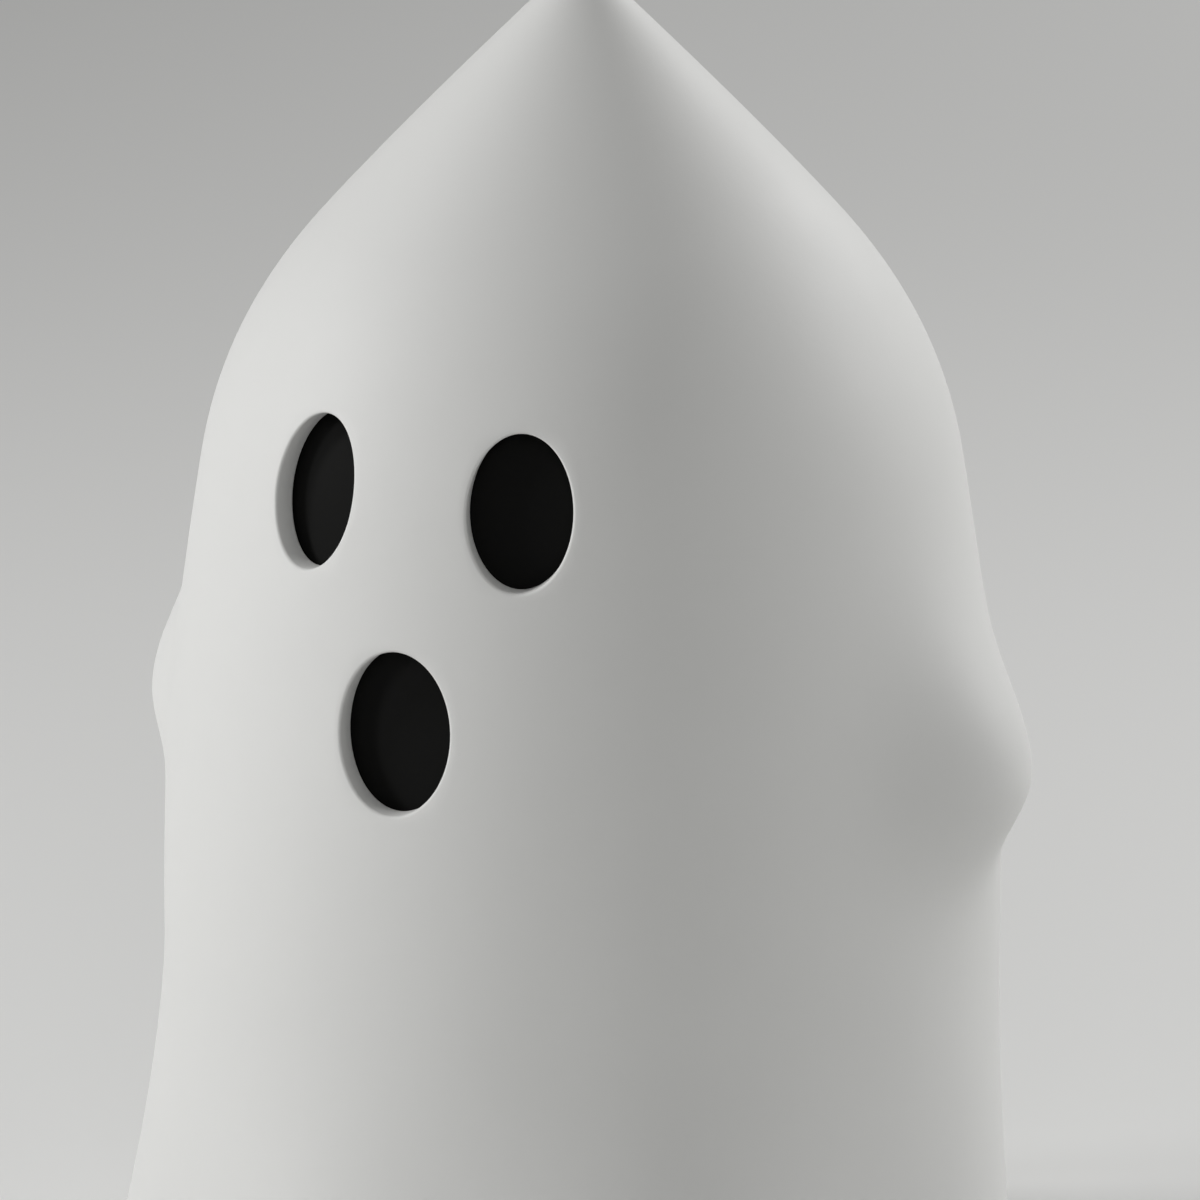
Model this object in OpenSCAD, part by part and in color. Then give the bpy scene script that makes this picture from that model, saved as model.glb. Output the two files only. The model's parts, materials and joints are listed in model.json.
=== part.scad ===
// Ghost lantern: a one-piece draped-sheet shell with dark face inserts stands over a round
// battery base that carries a light dome. Millimetres, +Z up, floor at z = 0, face towards -Y.
// Azimuths are measured from the face (-Y) towards +X.

/* [Shell] */
// Thickness of the moulded shell wall
wall = 3; // [2.4:0.1:3.6]
// Outer radius of the straight waist
waist_r = 55; // [50:0.5:65]
// Height of the flared skirt, from the rim up to the waist
skirt_h = 56; // [46:1:66]
// Height of the body from the waist up to the brow
chest_h = 64; // [54:1:74]
// Height of the rounded shoulder, from the brow up to the crown
shoulder_h = 31; // [26:1:36]
// Height of the pointed crown up to its sharp apex
crown_h = 33; // [28:1:38]
// Outer radius at the brow
brow_r = 49; // [46:0.5:53]
// Outer radius at the foot of the crown
crown_r = 33.2; // [29:0.2:37]
// Radius of the rounded tip
tip_round = 4; // [3.8:0.1:6]

/* [Hem] */
// How far the rim flares out from the waist
flare = 6.9; // [4:0.1:10]
// Number of narrow folds round the rim
fold_count = 7; // [5:1:9]
// Depth of a narrow fold at the rim
fold_depth = 1.75; // [0.5:0.05:2.5]
// Number of broad lobes round the rim
lobe_count = 3; // [2:1:4]
// Depth of a broad lobe at the rim
lobe_depth = 2.4; // [0.5:0.1:3]
// Azimuth of the deepest fold
fold_turn = 40; // [0:1:51]

/* [Arms] */
// How far an arm stands out of the body
arm_out = 8.2; // [4:0.1:10]
// Height of the arms' tips above the rim
arm_up = 83.8; // [74:0.2:92]
// Azimuth of each arm from the middle of the face
arm_turn = 89; // [82:1:98]
// Width of an arm round the body
arm_w = 30; // [26:1:38]
// Height of an arm's upper flank
arm_upper_h = 16.5; // [13:0.5:20]
// Height of an arm's lower flank
arm_lower_h = 11.5; // [9.5:0.5:15]

/* [Face] */
// Width of an eye opening
eye_w = 13; // [10:0.2:15]
// Height of an eye opening
eye_h = 18.7; // [14:0.1:22]
// Height of the eyes above the rim
eye_up = 122.4; // [118:0.2:126]
// Azimuth of each eye from the middle of the face
eye_turn = 17; // [15:0.5:20]
// Width of the mouth opening
mouth_w = 15; // [12:0.2:17]
// Height of the mouth opening
mouth_h = 20; // [16:0.2:22]
// Height of the mouth above the rim
mouth_up = 94.9; // [90:0.2:97]
// Thickness of a face insert
insert_t = 2; // [1.4:0.1:3]
// How far an insert's edge laps over the wall behind its opening
insert_lap = 2.6; // [1.5:0.1:3]

/* [Base] */
// How far the rubber feet stand below the tray
foot_stand = 1.8; // [1.6:0.1:3]
// Radius of a rubber foot
foot_r = 5; // [4:0.1:6]
// Distance of a foot's middle from the flange's edge
foot_inset = 7.6; // [6.8:0.1:9]
// Azimuth of the front feet, mirrored for the rear ones
foot_turn = 53; // [50:1:60]
// Thickness of the tray's plate and flange
plate_t = 2.4; // [2.2:0.1:3.2]
// Thickness of the tray's round wall
tray_wall = 2; // [1.6:0.1:2.6]
// Thickness of the deck that closes the tray
deck_t = 2; // [1.8:0.1:3]
// Distance of a deck screw's axis from the tray's round wall
deck_screw_inset = 5.8; // [5.2:0.1:7]
// Depth to which a deck screw bites in its boss
deck_screw_bite = 6.5; // [5:0.5:8]

/* [Batteries] */
// Diameter of a cell
cell_d = 10.5; // [10:0.1:11]
// Length of a cell with its button
cell_l = 44.5; // [43:0.1:46]
// Spacing of the cells side by side
cell_pitch = 12; // [11.8:0.1:12.6]
// Thickness of the battery bay's walls
bay_wall = 2.4; // [2:0.1:3]
// Thickness of the battery door
door_t = 2; // [1.6:0.1:2.2]
// Radius of the door's hinge barrel
barrel_r = 1.6; // [1.5:0.1:1.8]
// Radius of the door's hinge pins
pin_r = 1; // [0.8:0.05:1.1]
// Length of a contact spring as it sits behind a cell
spring_l = 4.6; // [4.4:0.1:6]
// Wire diameter of a contact spring
spring_wire = 0.5; // [0.4:0.05:0.6]

/* [Light] */
// Outer radius of the light dome
dome_r = 24.5; // [24.5:0.5:28]
// Height of the light dome above the deck
dome_h = 40; // [32:1:50]
// Height of the dome's straight sides
dome_straight = 18; // [12:1:24]
// Wall thickness of the light dome
dome_wall = 1.6; // [1.2:0.1:2]
// Radius of the light board
board_r = 15; // [14.5:0.5:16]
// Thickness of the light board
board_t = 1.6; // [1:0.1:2]
// Radius of a lamp's body
lamp_r = 2.5; // [1.5:0.1:2.8]

/* [Switch] */
// Distance of the switch behind the middle of the base
switch_y = 32; // [31:0.5:33]
// Travel of the switch knob
switch_travel = 4; // [3:0.5:5]
// Length of the switch knob along its travel
knob_l = 7; // [6:0.5:8]
// Width of the switch knob
knob_w = 6; // [5:0.5:7]

/* [Hidden] */

eps = 0.01;
$fn = 64;

// Clearances
cell_lift = 0.5;
cell_headroom = 0.3;
roof_gap = 0.7;
screw_tip_gap = 1.5;
insert_gap = 0.3;
spigot_gap = 0.6;
door_gap = 0.35;
pin_gap = 0.05;
seat_gap = 0.1;
screw_gap = 0.05;
lead_gap = 0.1;

// Shell slopes, as radius lost per millimetre of height, and grid density
brow_lean = 0.175;
crown_lean = 0.92;
apex_lean = 1.05;
flare_power = 1.58;
fold_power = 1.3;
arm_round_power = 2.2;
arm_flank_power = 2;
ring_points = 56;
skirt_rings = 8;
chest_rings = 14;
shoulder_rings = 7;
crown_rings = 4;
tip_rings = 3;
opening_points = 48;
insert_points = 32;
insert_rings = 3;

// Heights in the stack, from the floor up
under_z = foot_stand;
rim_z = under_z + plate_t;
door_top = under_z + door_t;
cell_z = door_top + cell_lift + cell_d / 2;
bay_ceiling = cell_z + cell_d / 2 + cell_headroom;
bay_roof_t = 1.4;
deck_z = bay_ceiling + bay_roof_t + roof_gap;
deck_top = deck_z + deck_t;

// Shell heights above the rim
waist_z = skirt_h;
brow_z = waist_z + chest_h;
crown_z = brow_z + shoulder_h;
apex_z = crown_z + crown_h;
tip_half_angle = atan(apex_lean);
tip_centre_z = apex_z - tip_round / sin(tip_half_angle);
tip_start_z = tip_centre_z + tip_round * sin(tip_half_angle);
tip_top_z = tip_centre_z + tip_round;

// Battery bay
cell_count = 3;
bay_y = -8;
contact_t = 0.4;
button_l = 1.2;
button_r = 1.9;
bay_l = cell_l + spring_l + 2 * contact_t;
bay_w = cell_count * cell_pitch;
door_lap = bay_wall / 2;
door_half = bay_l / 2 + door_lap;
hinge_y = bay_y - bay_w / 2 - bay_wall - barrel_r - door_gap;
hinge_z = under_z + barrel_r;
door_edge_y = bay_y + bay_w / 2 + door_lap;
ear_t = 3;
ear_wall = 1.6;
ear_half_w = pin_r + ear_wall;
pin_l = 2.2;
pin_end_gap = 0.2;
spring_turns = 3;
spring_foot_r = 3.8;
spring_tip_r = 2;
contact_w = 9;
contact_h = 9;
tail_w = 3;
tail_reach = 4;
tail_l = bay_wall + tail_reach;
tail_rise = 3;
tail_z = cell_z + tail_rise;

// Tray and deck
tray_r = valley_r(deck_top - rim_z) - spigot_gap;
tray_in_r = tray_r - tray_wall;
flange_r = min([for (a = [0:2:358]) outer_r(a, 0)]);
boss_r = 3.2;
boss_web_t = 1.6;
screw_r = 1;
screw_head_r = 1.9;
screw_head_h = 1.3;
screw_floor = 0.8;
deck_screw_l = deck_t + deck_screw_bite;
deck_hole_depth = deck_screw_bite + screw_tip_gap;
deck_screw_pcd_r = tray_in_r - deck_screw_inset;
foot_seat = 1.2;
foot_t = foot_stand + foot_seat;
foot_pcd_r = flange_r - foot_inset;
foot_gap = 0.1;
lip_h = 2;
lip_t = 1.2;
web_drop = 0.4;
edge_bevel = 1;

// Light
standoff_h = 3;
standoff_r = 2.2;
standoff_pcd_r = 11.5;
board_z = deck_top + standoff_h;
board_screw_bite = 2.5;
board_screw_l = board_t + board_screw_bite;
lamp_pcd_r = 5;
lamp_flange_t = 1;
lamp_l = 5;
dome_flange_w = 2.6;
dome_flange_t = 1.6;
dome_seat = 0.6;
clip_w = 6;
clip_t = 1.5;
clip_hook = 1;
lead_hole_r = 3.2;
lead_hole_gap = 3;
lead_hole_y = board_r + lead_hole_gap;

// Switch
knob_floor_gap = 0.9;
knob_recess = 1;
knob_end_room = 1.2;
knob_side_room = 1;
slot_w = 3.2;
stem_w = 2.6;
stem_l = 4;
stem_grip = 2.4;
stem_room = 0.6;
switch_can = [10, 5.2, 5];
switch_frame = [21, 5.2, 0.6];
switch_screw_x = 8.3;
switch_boss_h = 1;
switch_boss_wall = 1;
switch_seat_z = rim_z + switch_boss_h;
switch_screw_l = switch_seat_z + switch_frame[2] - under_z - screw_floor - seat_gap;

// Routes of the leads inside the base: tied at their ends, round numbers between
lead_r = 0.7;
tail_tip = bay_l / 2 + tail_l;
solder_z = tail_z + contact_t + lead_r + lead_gap;
tag_x = 3.6;
tag_l = 2;
tag_z = switch_seat_z + switch_frame[2] + switch_can[2] + tag_l + lead_gap;
pad_y = board_r - 2.5;
pad_z = board_z + board_t + lead_gap;
rear_y = bay_y + cell_pitch;
front_y = bay_y - cell_pitch;
red_route = [
    [tail_tip - 1.6, rear_y, solder_z], [tail_tip + 1, rear_y, solder_z],
    [tail_tip + 4, rear_y + 6, solder_z - 2], [33, 18, 10], [24, 26, 10], [12, 29, 12],
    [6, switch_y - 1, 15], [tag_x, switch_y, tag_z + 1.8], [tag_x, switch_y, tag_z]
];
black_route = [
    [1.6 - tail_tip, front_y, solder_z], [-1 - tail_tip, front_y, solder_z],
    [-4.5 - tail_tip, front_y + 7, solder_z - 2], [-37, 0, 11], [-33, 12, 10],
    [-20, lead_hole_y, 10], [-7, lead_hole_y, 11.5], [-1.8, lead_hole_y, deck_z - 1],
    [-1.6, lead_hole_y, deck_top + 2], [-2, lead_hole_y - 1, pad_z + 1.6],
    [-2, pad_y + 2, pad_z + 2.8], [-2, pad_y, pad_z + 1.8], [-2, pad_y, pad_z]
];
white_route = [
    [-tag_x, switch_y, tag_z], [-tag_x, switch_y, tag_z + 1.8], [-3, switch_y - 4, 14.8],
    [0, lead_hole_y + 4, 13.6], [1.8, lead_hole_y, deck_z - 1], [1.6, lead_hole_y, deck_top + 2],
    [2, lead_hole_y - 1, pad_z + 1.6], [2, pad_y + 2, pad_z + 2.8],
    [2, pad_y, pad_z + 1.8], [2, pad_y, pad_z]
];

// Cubic between two values with given slopes over a length
function hermite(t, l, v0, s0, v1, s1) =
    v0 * (2 * t * t * t - 3 * t * t + 1) + l * s0 * (t * t * t - 2 * t * t + t)
    + v1 * (3 * t * t - 2 * t * t * t) + l * s1 * (t * t * t - t * t);

// Radius of the round body below the tip, z above the rim
function body_r(z) =
    z < waist_z ? waist_r
    : z < brow_z ? hermite((z - waist_z) / chest_h, chest_h, waist_r, 0, brow_r, -brow_lean)
    : z < crown_z
    ? hermite((z - brow_z) / shoulder_h, shoulder_h, brow_r, -brow_lean, crown_r, -crown_lean)
    : hermite((z - crown_z) / crown_h, crown_h, crown_r, -crown_lean, 0, -apex_lean);

// Flare, folds and lobes of the skirt
function skirt_share(z) = max(0, 1 - z / skirt_h);
function skirt_out(a, z) =
    let (turn = a - fold_turn)
    flare * pow(skirt_share(z), flare_power)
    + pow(skirt_share(z), fold_power)
    * (fold_depth * cos(fold_count * turn) + lobe_depth * cos(lobe_count * turn));

// Bump of the arm at an azimuth, steeper below its tip than above
function arm_bump(a, z, at) =
    let (
        turn = abs(a - at) / (arm_w / 2 / waist_r * 180 / PI),
        flank_h = z > arm_up ? arm_upper_h : arm_lower_h,
        rise = abs(z - arm_up) / flank_h)
    arm_out * exp(-pow(turn, arm_round_power)) * exp(-pow(rise, arm_flank_power));

// Outer radius of the shell below the tip, and the least inner radius at a height
function outer_r(a, z) =
    body_r(z) + skirt_out(a, z) + arm_bump(a, z, arm_turn) + arm_bump(a, z, 360 - arm_turn);
function valley_r(z) = min([for (a = [0:2:358]) outer_r(a, z)]) - wall;

// A point at an azimuth, radius and height
function around(a, r, z) = [r * sin(a), -r * cos(a), z];
function unit(v) = v / norm(v);

// Grid of the shell's outer skin, rim first, then the rings of the rounded tip
ring_z = [
    for (i = [0:skirt_rings - 1]) waist_z * i / skirt_rings,
    for (i = [0:chest_rings - 1]) waist_z + chest_h * i / chest_rings,
    for (i = [0:shoulder_rings - 1]) brow_z + shoulder_h * i / shoulder_rings,
    for (i = [0:crown_rings - 1]) crown_z + (tip_start_z - crown_z) * i / crown_rings
];
tip_angles = [for (i = [0:tip_rings - 1]) (90 - tip_half_angle) * (tip_rings - i) / tip_rings];
azimuths = [for (j = [0:ring_points - 1]) 360 * j / ring_points];
outer_grid = concat(
    [for (z = ring_z) [for (a = azimuths) around(a, outer_r(a, z), z)]],
    [for (t = tip_angles)
        let (r = tip_round * sin(t), z = tip_centre_z + tip_round * cos(t))
        [for (a = azimuths) around(a, r, z)]]
);
ring_count = len(outer_grid);
tip_point = [0, 0, tip_top_z];

// Outward normal of the skin at a grid point
function skin_point(i, j) =
    i >= ring_count ? tip_point : outer_grid[i][(j + ring_points) % ring_points];
function skin_normal(i, j) =
    let (
        along = skin_point(i, j + 1) - skin_point(i, j - 1),
        up = skin_point(i + 1, j) - skin_point(max(0, i - 1), j))
    unit(cross(along, up));

// Inner skin: one wall thickness along the normal, and level at the rim
function inner_point(i, j) =
    let (n = skin_normal(i, j), p = outer_grid[i][j], h = norm([n[0], n[1]]))
    i == 0 ? [p[0] - wall / h * n[0] / h, p[1] - wall / h * n[1] / h, p[2]] : p - wall * n;
inner_grid = [for (i = [0:ring_count - 1]) [for (j = [0:ring_points - 1]) inner_point(i, j)]];

// Triangles of a closed strip between two rings whose points start at index b and t
function strip(b, t, n) = [
    for (j = [0:n - 1]) let (k = (j + 1) % n) each [[b + j, t + j, t + k], [b + j, t + k, b + k]]
];
function fan(b, top, n) = [for (j = [0:n - 1]) [b + j, top, b + (j + 1) % n]];
function flipped(faces) = [for (f = faces) [f[2], f[1], f[0]]];
function flat_list(grid) = [for (ring = grid) each ring];

// Whole shell without its openings, rim at z = 0
module draped_skin() {
    n = ring_points;
    m = ring_count * n;
    tips = [tip_point, tip_point - [0, 0, wall]];
    points = concat(flat_list(outer_grid), flat_list(inner_grid), tips);
    outer_faces = concat(
        [for (i = [0:ring_count - 2]) each strip(i * n, (i + 1) * n, n)],
        fan((ring_count - 1) * n, 2 * m, n));
    inner_faces = concat(
        [for (i = [0:ring_count - 2]) each strip(m + i * n, m + (i + 1) * n, n)],
        fan(m + (ring_count - 1) * n, 2 * m + 1, n));
    polyhedron(points, concat(outer_faces, flipped(inner_faces), flipped(strip(0, m, n))));
}

// Oval prism from the axis out through the face
module oval_cutter(w, h) {
    reach = waist_r + flare;
    rotate([90, 0, 0])
        linear_extrude(reach)
            polygon([
                for (i = [0:opening_points - 1])
                    let (t = 360 * i / opening_points) [w / 2 * cos(t), h / 2 * sin(t)]
            ]);
}

module ghost_shell() {
    color("whitesmoke")
        translate([0, 0, rim_z])
            difference() {
                draped_skin();
                for (side = [-1, 1])
                    rotate([0, 0, side * eye_turn]) translate([0, 0, eye_up]) oval_cutter(eye_w, eye_h);
                translate([0, 0, mouth_up]) oval_cutter(mouth_w, mouth_h);
            }
}

// Depth of the body of revolution at a sideways distance x and a height z, taken in by a thickness
slope_step = 0.5;
function body_slope(z) = (body_r(z + slope_step) - body_r(z - slope_step)) / (2 * slope_step);
function slope_factor(z) = norm([1, body_slope(z)]);
function behind_wall(x, z, inset) =
    let (r = body_r(z) - inset * slope_factor(z)) -sqrt(r * r - x * x);

// Oval plate that follows the inside of the wall behind an opening at a height
module face_insert(w, h, up) {
    n = insert_points;
    side_points = function(inset) [
        [0, behind_wall(0, up, inset), up],
        for (k = [1:insert_rings]) for (j = [0:n - 1])
            let (
                t = 360 * j / n,
                x = (w / 2 + insert_lap) * cos(t) * k / insert_rings,
                z = up + (h / 2 + insert_lap) * sin(t) * k / insert_rings)
            [x, behind_wall(x, z, inset), z]
    ];
    front = side_points(wall + insert_gap);
    back = side_points(wall + insert_gap + insert_t);
    m = len(front);
    side_faces = concat(
        fan(1, 0, n),
        [for (k = [1:insert_rings - 1]) each strip(1 + k * n, 1 + (k - 1) * n, n)]);
    edge = 1 + (insert_rings - 1) * n;
    color([0.07, 0.07, 0.065])
        polyhedron(
            concat(front, back),
            concat(
                side_faces,
                flipped([for (f = side_faces) [f[0] + m, f[1] + m, f[2] + m]]),
                strip(m + edge, edge, n)));
}

module left_eye_insert() {
    translate([0, 0, rim_z]) rotate([0, 0, eye_turn]) face_insert(eye_w, eye_h, eye_up);
}

module right_eye_insert() {
    translate([0, 0, rim_z]) rotate([0, 0, -eye_turn]) face_insert(eye_w, eye_h, eye_up);
}

module mouth_insert() {
    translate([0, 0, rim_z]) face_insert(mouth_w, mouth_h, mouth_up);
}

// Block with its base on z, centred in x and y
module block(size, at) {
    translate([at[0] - size[0] / 2, at[1] - size[1] / 2, at[2]]) cube(size);
}

module post(r, h, at) {
    translate(at) cylinder(r = r, h = h);
}

deck_screw_turns = [0:90:270];
deck_screw_places = [for (a = deck_screw_turns) around(a, deck_screw_pcd_r, 0)];
foot_turns = [foot_turn, 180 - foot_turn, 180 + foot_turn, -foot_turn];
foot_places = [for (a = foot_turns) around(a, foot_pcd_r, 0)];
standoff_places = [for (a = [30, 150, 270]) around(a, standoff_pcd_r, 0)];
switch_screw_places = [for (sx = [-1, 1]) [sx * switch_screw_x, switch_y, 0]];

// Cross-recessed pan-head screw, head resting on z = 0, shank down
module pan_screw(l) {
    head_taper = 0.4;
    recess_w = 0.5;
    recess_l = 2.1;
    recess_depth = 0.7;
    difference() {
        union() {
            cylinder(r1 = screw_head_r, r2 = screw_head_r - head_taper, h = screw_head_h);
            translate([0, 0, -l]) cylinder(r = screw_r, h = l + eps);
        }
        block([recess_l, recess_w, screw_head_h], [0, 0, screw_head_h - recess_depth]);
        block([recess_w, recess_l, screw_head_h], [0, 0, screw_head_h - recess_depth]);
    }
}

// Slot with round ends along x
module rounded_slot(l, w, h, at) {
    translate(at) {
        block([l - w, w, h], [0, 0, 0]);
        for (s = [-1, 1]) post(w / 2, h, [s * (l - w) / 2, 0, 0]);
    }
}

// Battery bay: four walls and a roof, open below, with ribs between the cells
module bay_walls() {
    rib = [30, 0.9, 4];
    bottom = door_top + seat_gap;
    roof = bay_ceiling + bay_roof_t;
    difference() {
        block([bay_l + 2 * bay_wall, bay_w + 2 * bay_wall, roof - bottom], [0, bay_y, bottom]);
        block([bay_l, bay_w, bay_ceiling - bottom + eps], [0, bay_y, bottom - eps]);
        terminal_slots();
    }
    for (s = [-1, 1])
        block(rib + [0, 0, eps], [0, bay_y + s * cell_pitch / 2, bay_ceiling - rib[2]]);
}

// Slots in the bay's end walls for the two soldering tails
module terminal_slots() {
    slot_h = contact_t + 2 * seat_gap;
    for (s = [-1, 1])
        block([2 * bay_wall + eps, tail_w + 4 * seat_gap, slot_h],
              [s * (bay_l / 2 + bay_wall / 2), bay_y + s * cell_pitch, tail_z - seat_gap]);
}

// Ears that carry the door's hinge pins
module hinge_ears() {
    for (s = [-1, 1])
        block([ear_t, 2 * ear_half_w, hinge_z + ear_half_w - rim_z + eps],
              [s * (door_half + door_gap + ear_t / 2), hinge_y, rim_z - eps]);
}

module hinge_holes() {
    for (s = [-1, 1])
        translate([s * (door_half + door_gap - eps), hinge_y, hinge_z])
            rotate([0, s * 90, 0])
                cylinder(r = pin_r + pin_gap, h = pin_l - door_gap + pin_end_gap + eps);
}

module door_opening() {
    front = hinge_y - barrel_r - door_gap;
    back = door_edge_y + door_gap;
    translate([-door_half - door_gap, front, under_z - eps])
        cube([2 * (door_half + door_gap), back - front, plate_t + 2 * eps]);
}

// Shallow notch in the plate for a fingertip at the door's free edge
module finger_notch() {
    notch_r = 5;
    notch_depth = 1.4;
    post(notch_r, notch_depth + eps, [0, door_edge_y + door_gap, under_z - eps]);
}

// Recess for the switch knob, and the slot that its stem passes through
module knob_recess_and_slot() {
    at = [0, switch_y, under_z - eps];
    recess_l = knob_l + switch_travel + 2 * knob_end_room;
    rounded_slot(recess_l, knob_w + 2 * knob_side_room, knob_recess + eps, at);
    rounded_slot(stem_l + switch_travel + slot_w, slot_w, plate_t + 2 * eps, at);
}

// Bosses for the deck screws, each tied to the round wall by a web
module deck_bosses() {
    h = deck_z - rim_z + eps;
    for (p = deck_screw_places) post(boss_r, h, p + [0, 0, rim_z - eps]);
    for (a = deck_screw_turns)
        rotate([0, 0, a])
            block([boss_web_t, deck_screw_inset + eps, h - lip_h - web_drop],
                  [0, -deck_screw_pcd_r - deck_screw_inset / 2, rim_z - eps]);
}

module base_tray() {
    color("gainsboro")
        difference() {
            union() {
                difference() {
                    union() {
                        translate([0, 0, under_z])
                            rotate_extrude()
                                polygon([
                                    [0, 0], [flange_r - edge_bevel, 0], [flange_r, edge_bevel],
                                    [flange_r, plate_t], [0, plate_t]
                                ]);
                        difference() {
                            post(tray_r, deck_z - rim_z + eps, [0, 0, rim_z - eps]);
                            post(tray_in_r, deck_z - rim_z + 3 * eps, [0, 0, rim_z - 2 * eps]);
                        }
                    }
                    door_opening();
                    finger_notch();
                    for (p = foot_places)
                        post(foot_r + foot_gap, foot_seat + eps, p + [0, 0, under_z - eps]);
                    knob_recess_and_slot();
                }
                bay_walls();
                hinge_ears();
                deck_bosses();
                for (p = switch_screw_places)
                    post(screw_r + switch_boss_wall, switch_boss_h + eps, p + [0, 0, rim_z - eps]);
            }
            hinge_holes();
            for (p = deck_screw_places)
                post(screw_r + screw_gap, deck_hole_depth, p + [0, 0, deck_z - deck_hole_depth + eps]);
            for (p = switch_screw_places)
                post(screw_r + screw_gap, switch_seat_z - under_z, p + [0, 0, under_z + screw_floor]);
        }
}

// Three clips that hold the dome's flange down on the deck
module dome_clips() {
    post_in = dome_r + dome_flange_w + seat_gap;
    flange_z = deck_top - dome_seat + dome_flange_t;
    for (a = [90, 210, 330])
        rotate([0, 0, a]) {
            block([clip_w, clip_t, flange_z - deck_top + seat_gap + clip_t + eps],
                  [0, -post_in - clip_t / 2, deck_top - eps]);
            block([clip_w, clip_t + clip_hook, clip_t],
                  [0, -post_in - clip_t / 2 + clip_hook / 2, flange_z + seat_gap]);
        }
}

module base_deck() {
    lip_r = tray_in_r - seat_gap;
    color("gainsboro")
        difference() {
            union() {
                translate([0, 0, deck_z])
                    rotate_extrude()
                        polygon([
                            [0, 0], [lip_r - lip_t, 0], [lip_r - lip_t, -lip_h], [lip_r, -lip_h],
                            [lip_r, 0], [tray_r, 0], [tray_r, deck_t - edge_bevel],
                            [tray_r - edge_bevel, deck_t], [0, deck_t]
                        ]);
                for (p = standoff_places)
                    post(standoff_r, standoff_h + eps, p + [0, 0, deck_top - eps]);
                dome_clips();
            }
            translate([0, 0, deck_top - dome_seat])
                difference() {
                    cylinder(r = dome_r + dome_flange_w + seat_gap, h = dome_seat + eps);
                    translate([0, 0, -eps])
                        cylinder(r = dome_r - dome_wall - seat_gap, h = dome_seat + 3 * eps);
                }
            for (p = deck_screw_places)
                post(screw_r + screw_gap, deck_t + 2 * eps, p + [0, 0, deck_z - eps]);
            for (p = standoff_places)
                post(screw_r + screw_gap, standoff_h + deck_t, p + [0, 0, deck_z + screw_floor]);
            post(lead_hole_r, deck_t + 2 * eps, [0, lead_hole_y, deck_z - eps]);
        }
}

module deck_screws() {
    color("silver") for (p = deck_screw_places) translate(p + [0, 0, deck_top]) pan_screw(deck_screw_l);
}

module rubber_feet() {
    foot_bevel = 0.6;
    color([0.13, 0.13, 0.13])
        for (p = foot_places)
            translate(p) {
                cylinder(r1 = foot_r - foot_bevel, r2 = foot_r, h = foot_bevel);
                translate([0, 0, foot_bevel - eps]) cylinder(r = foot_r, h = foot_t - foot_bevel + eps);
            }
}

// Frosted dome: straight sides, elliptical top, flange at the foot
module light_dome() {
    arc_steps = 10;
    in_r = dome_r - dome_wall;
    top = dome_h - dome_straight;
    color([0.93, 0.92, 0.88, 0.7])
        translate([0, 0, deck_top - dome_seat])
            rotate_extrude()
                polygon([
                    [in_r, 0], [dome_r + dome_flange_w, 0], [dome_r + dome_flange_w, dome_flange_t],
                    [dome_r, dome_flange_t],
                    for (i = [0:arc_steps])
                        let (t = 90 * i / arc_steps) [dome_r * cos(t), dome_straight + top * sin(t)],
                    for (i = [arc_steps:-1:0])
                        let (t = 90 * i / arc_steps)
                        [in_r * cos(t), dome_straight + (top - dome_wall) * sin(t)]
                ]);
}

module light_board() {
    color("seagreen")
        difference() {
            post(board_r, board_t, [0, 0, board_z]);
            for (p = standoff_places)
                post(screw_r + screw_gap, board_t + 2 * eps, p + [0, 0, board_z - eps]);
        }
}

module board_screws() {
    color("silver")
        for (p = standoff_places) translate(p + [0, 0, board_z + board_t]) pan_screw(board_screw_l);
}

lamp_places = [for (a = [90, 210, 330]) around(a, lamp_pcd_r, board_z + board_t)];

module lamps() {
    lamp_flange_w = 0.4;
    color("ivory")
        for (p = lamp_places)
            translate(p) {
                cylinder(r = lamp_r + lamp_flange_w, h = lamp_flange_t);
                cylinder(r = lamp_r, h = lamp_l);
                translate([0, 0, lamp_l]) sphere(r = lamp_r);
            }
}

// One chip resistor beside each lamp
module resistors() {
    chip = [2, 1.2, 0.6];
    chip_pcd_r = 6;
    color("dimgray")
        for (a = [30, 150, 270])
            rotate([0, 0, a]) block(chip, [0, -chip_pcd_r, board_z + board_t]);
}

// A cell lying along x, button towards dir
module battery_cell(row, dir) {
    end_ring = 0.8;
    end_step = 0.3;
    end_r = cell_d / 2 - end_step;
    nose = bay_l / 2 - contact_t;
    tail = nose - cell_l;
    shoulder = nose - button_l - end_ring;
    color("darkorange")
        translate([0, bay_y + row * cell_pitch, cell_z])
            rotate([0, dir * 90, 0]) {
                post(end_r, end_ring + eps, [0, 0, tail]);
                post(cell_d / 2, shoulder - tail - end_ring, [0, 0, tail + end_ring]);
                post(end_r, end_ring + eps, [0, 0, shoulder - eps]);
                post(button_r, button_l + eps, [0, 0, nose - button_l - eps]);
            }
}

module battery_cell_front() { battery_cell(-1, 1); }
module battery_cell_middle() { battery_cell(0, -1); }
module battery_cell_rear() { battery_cell(1, 1); }

// Contact sheet at an end of the bay, spanning rows from and to
module contact_sheet(end, from, to) {
    span = (to - from) * cell_pitch + contact_w;
    middle = bay_y + (from + to) / 2 * cell_pitch;
    block([contact_t, span, contact_h],
          [end * (bay_l / 2 - contact_t / 2), middle, cell_z - contact_h / 2]);
}

// Positive terminal behind the rear cell, negative terminal behind the front cell
module terminal_plates() {
    color("lightgray")
        for (s = [-1, 1]) {
            contact_sheet(s, s, s);
            block([tail_l + contact_t, tail_w, contact_t],
                  [s * (bay_l / 2 + tail_l / 2 - contact_t / 2), bay_y + s * cell_pitch, tail_z]);
        }
}

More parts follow.
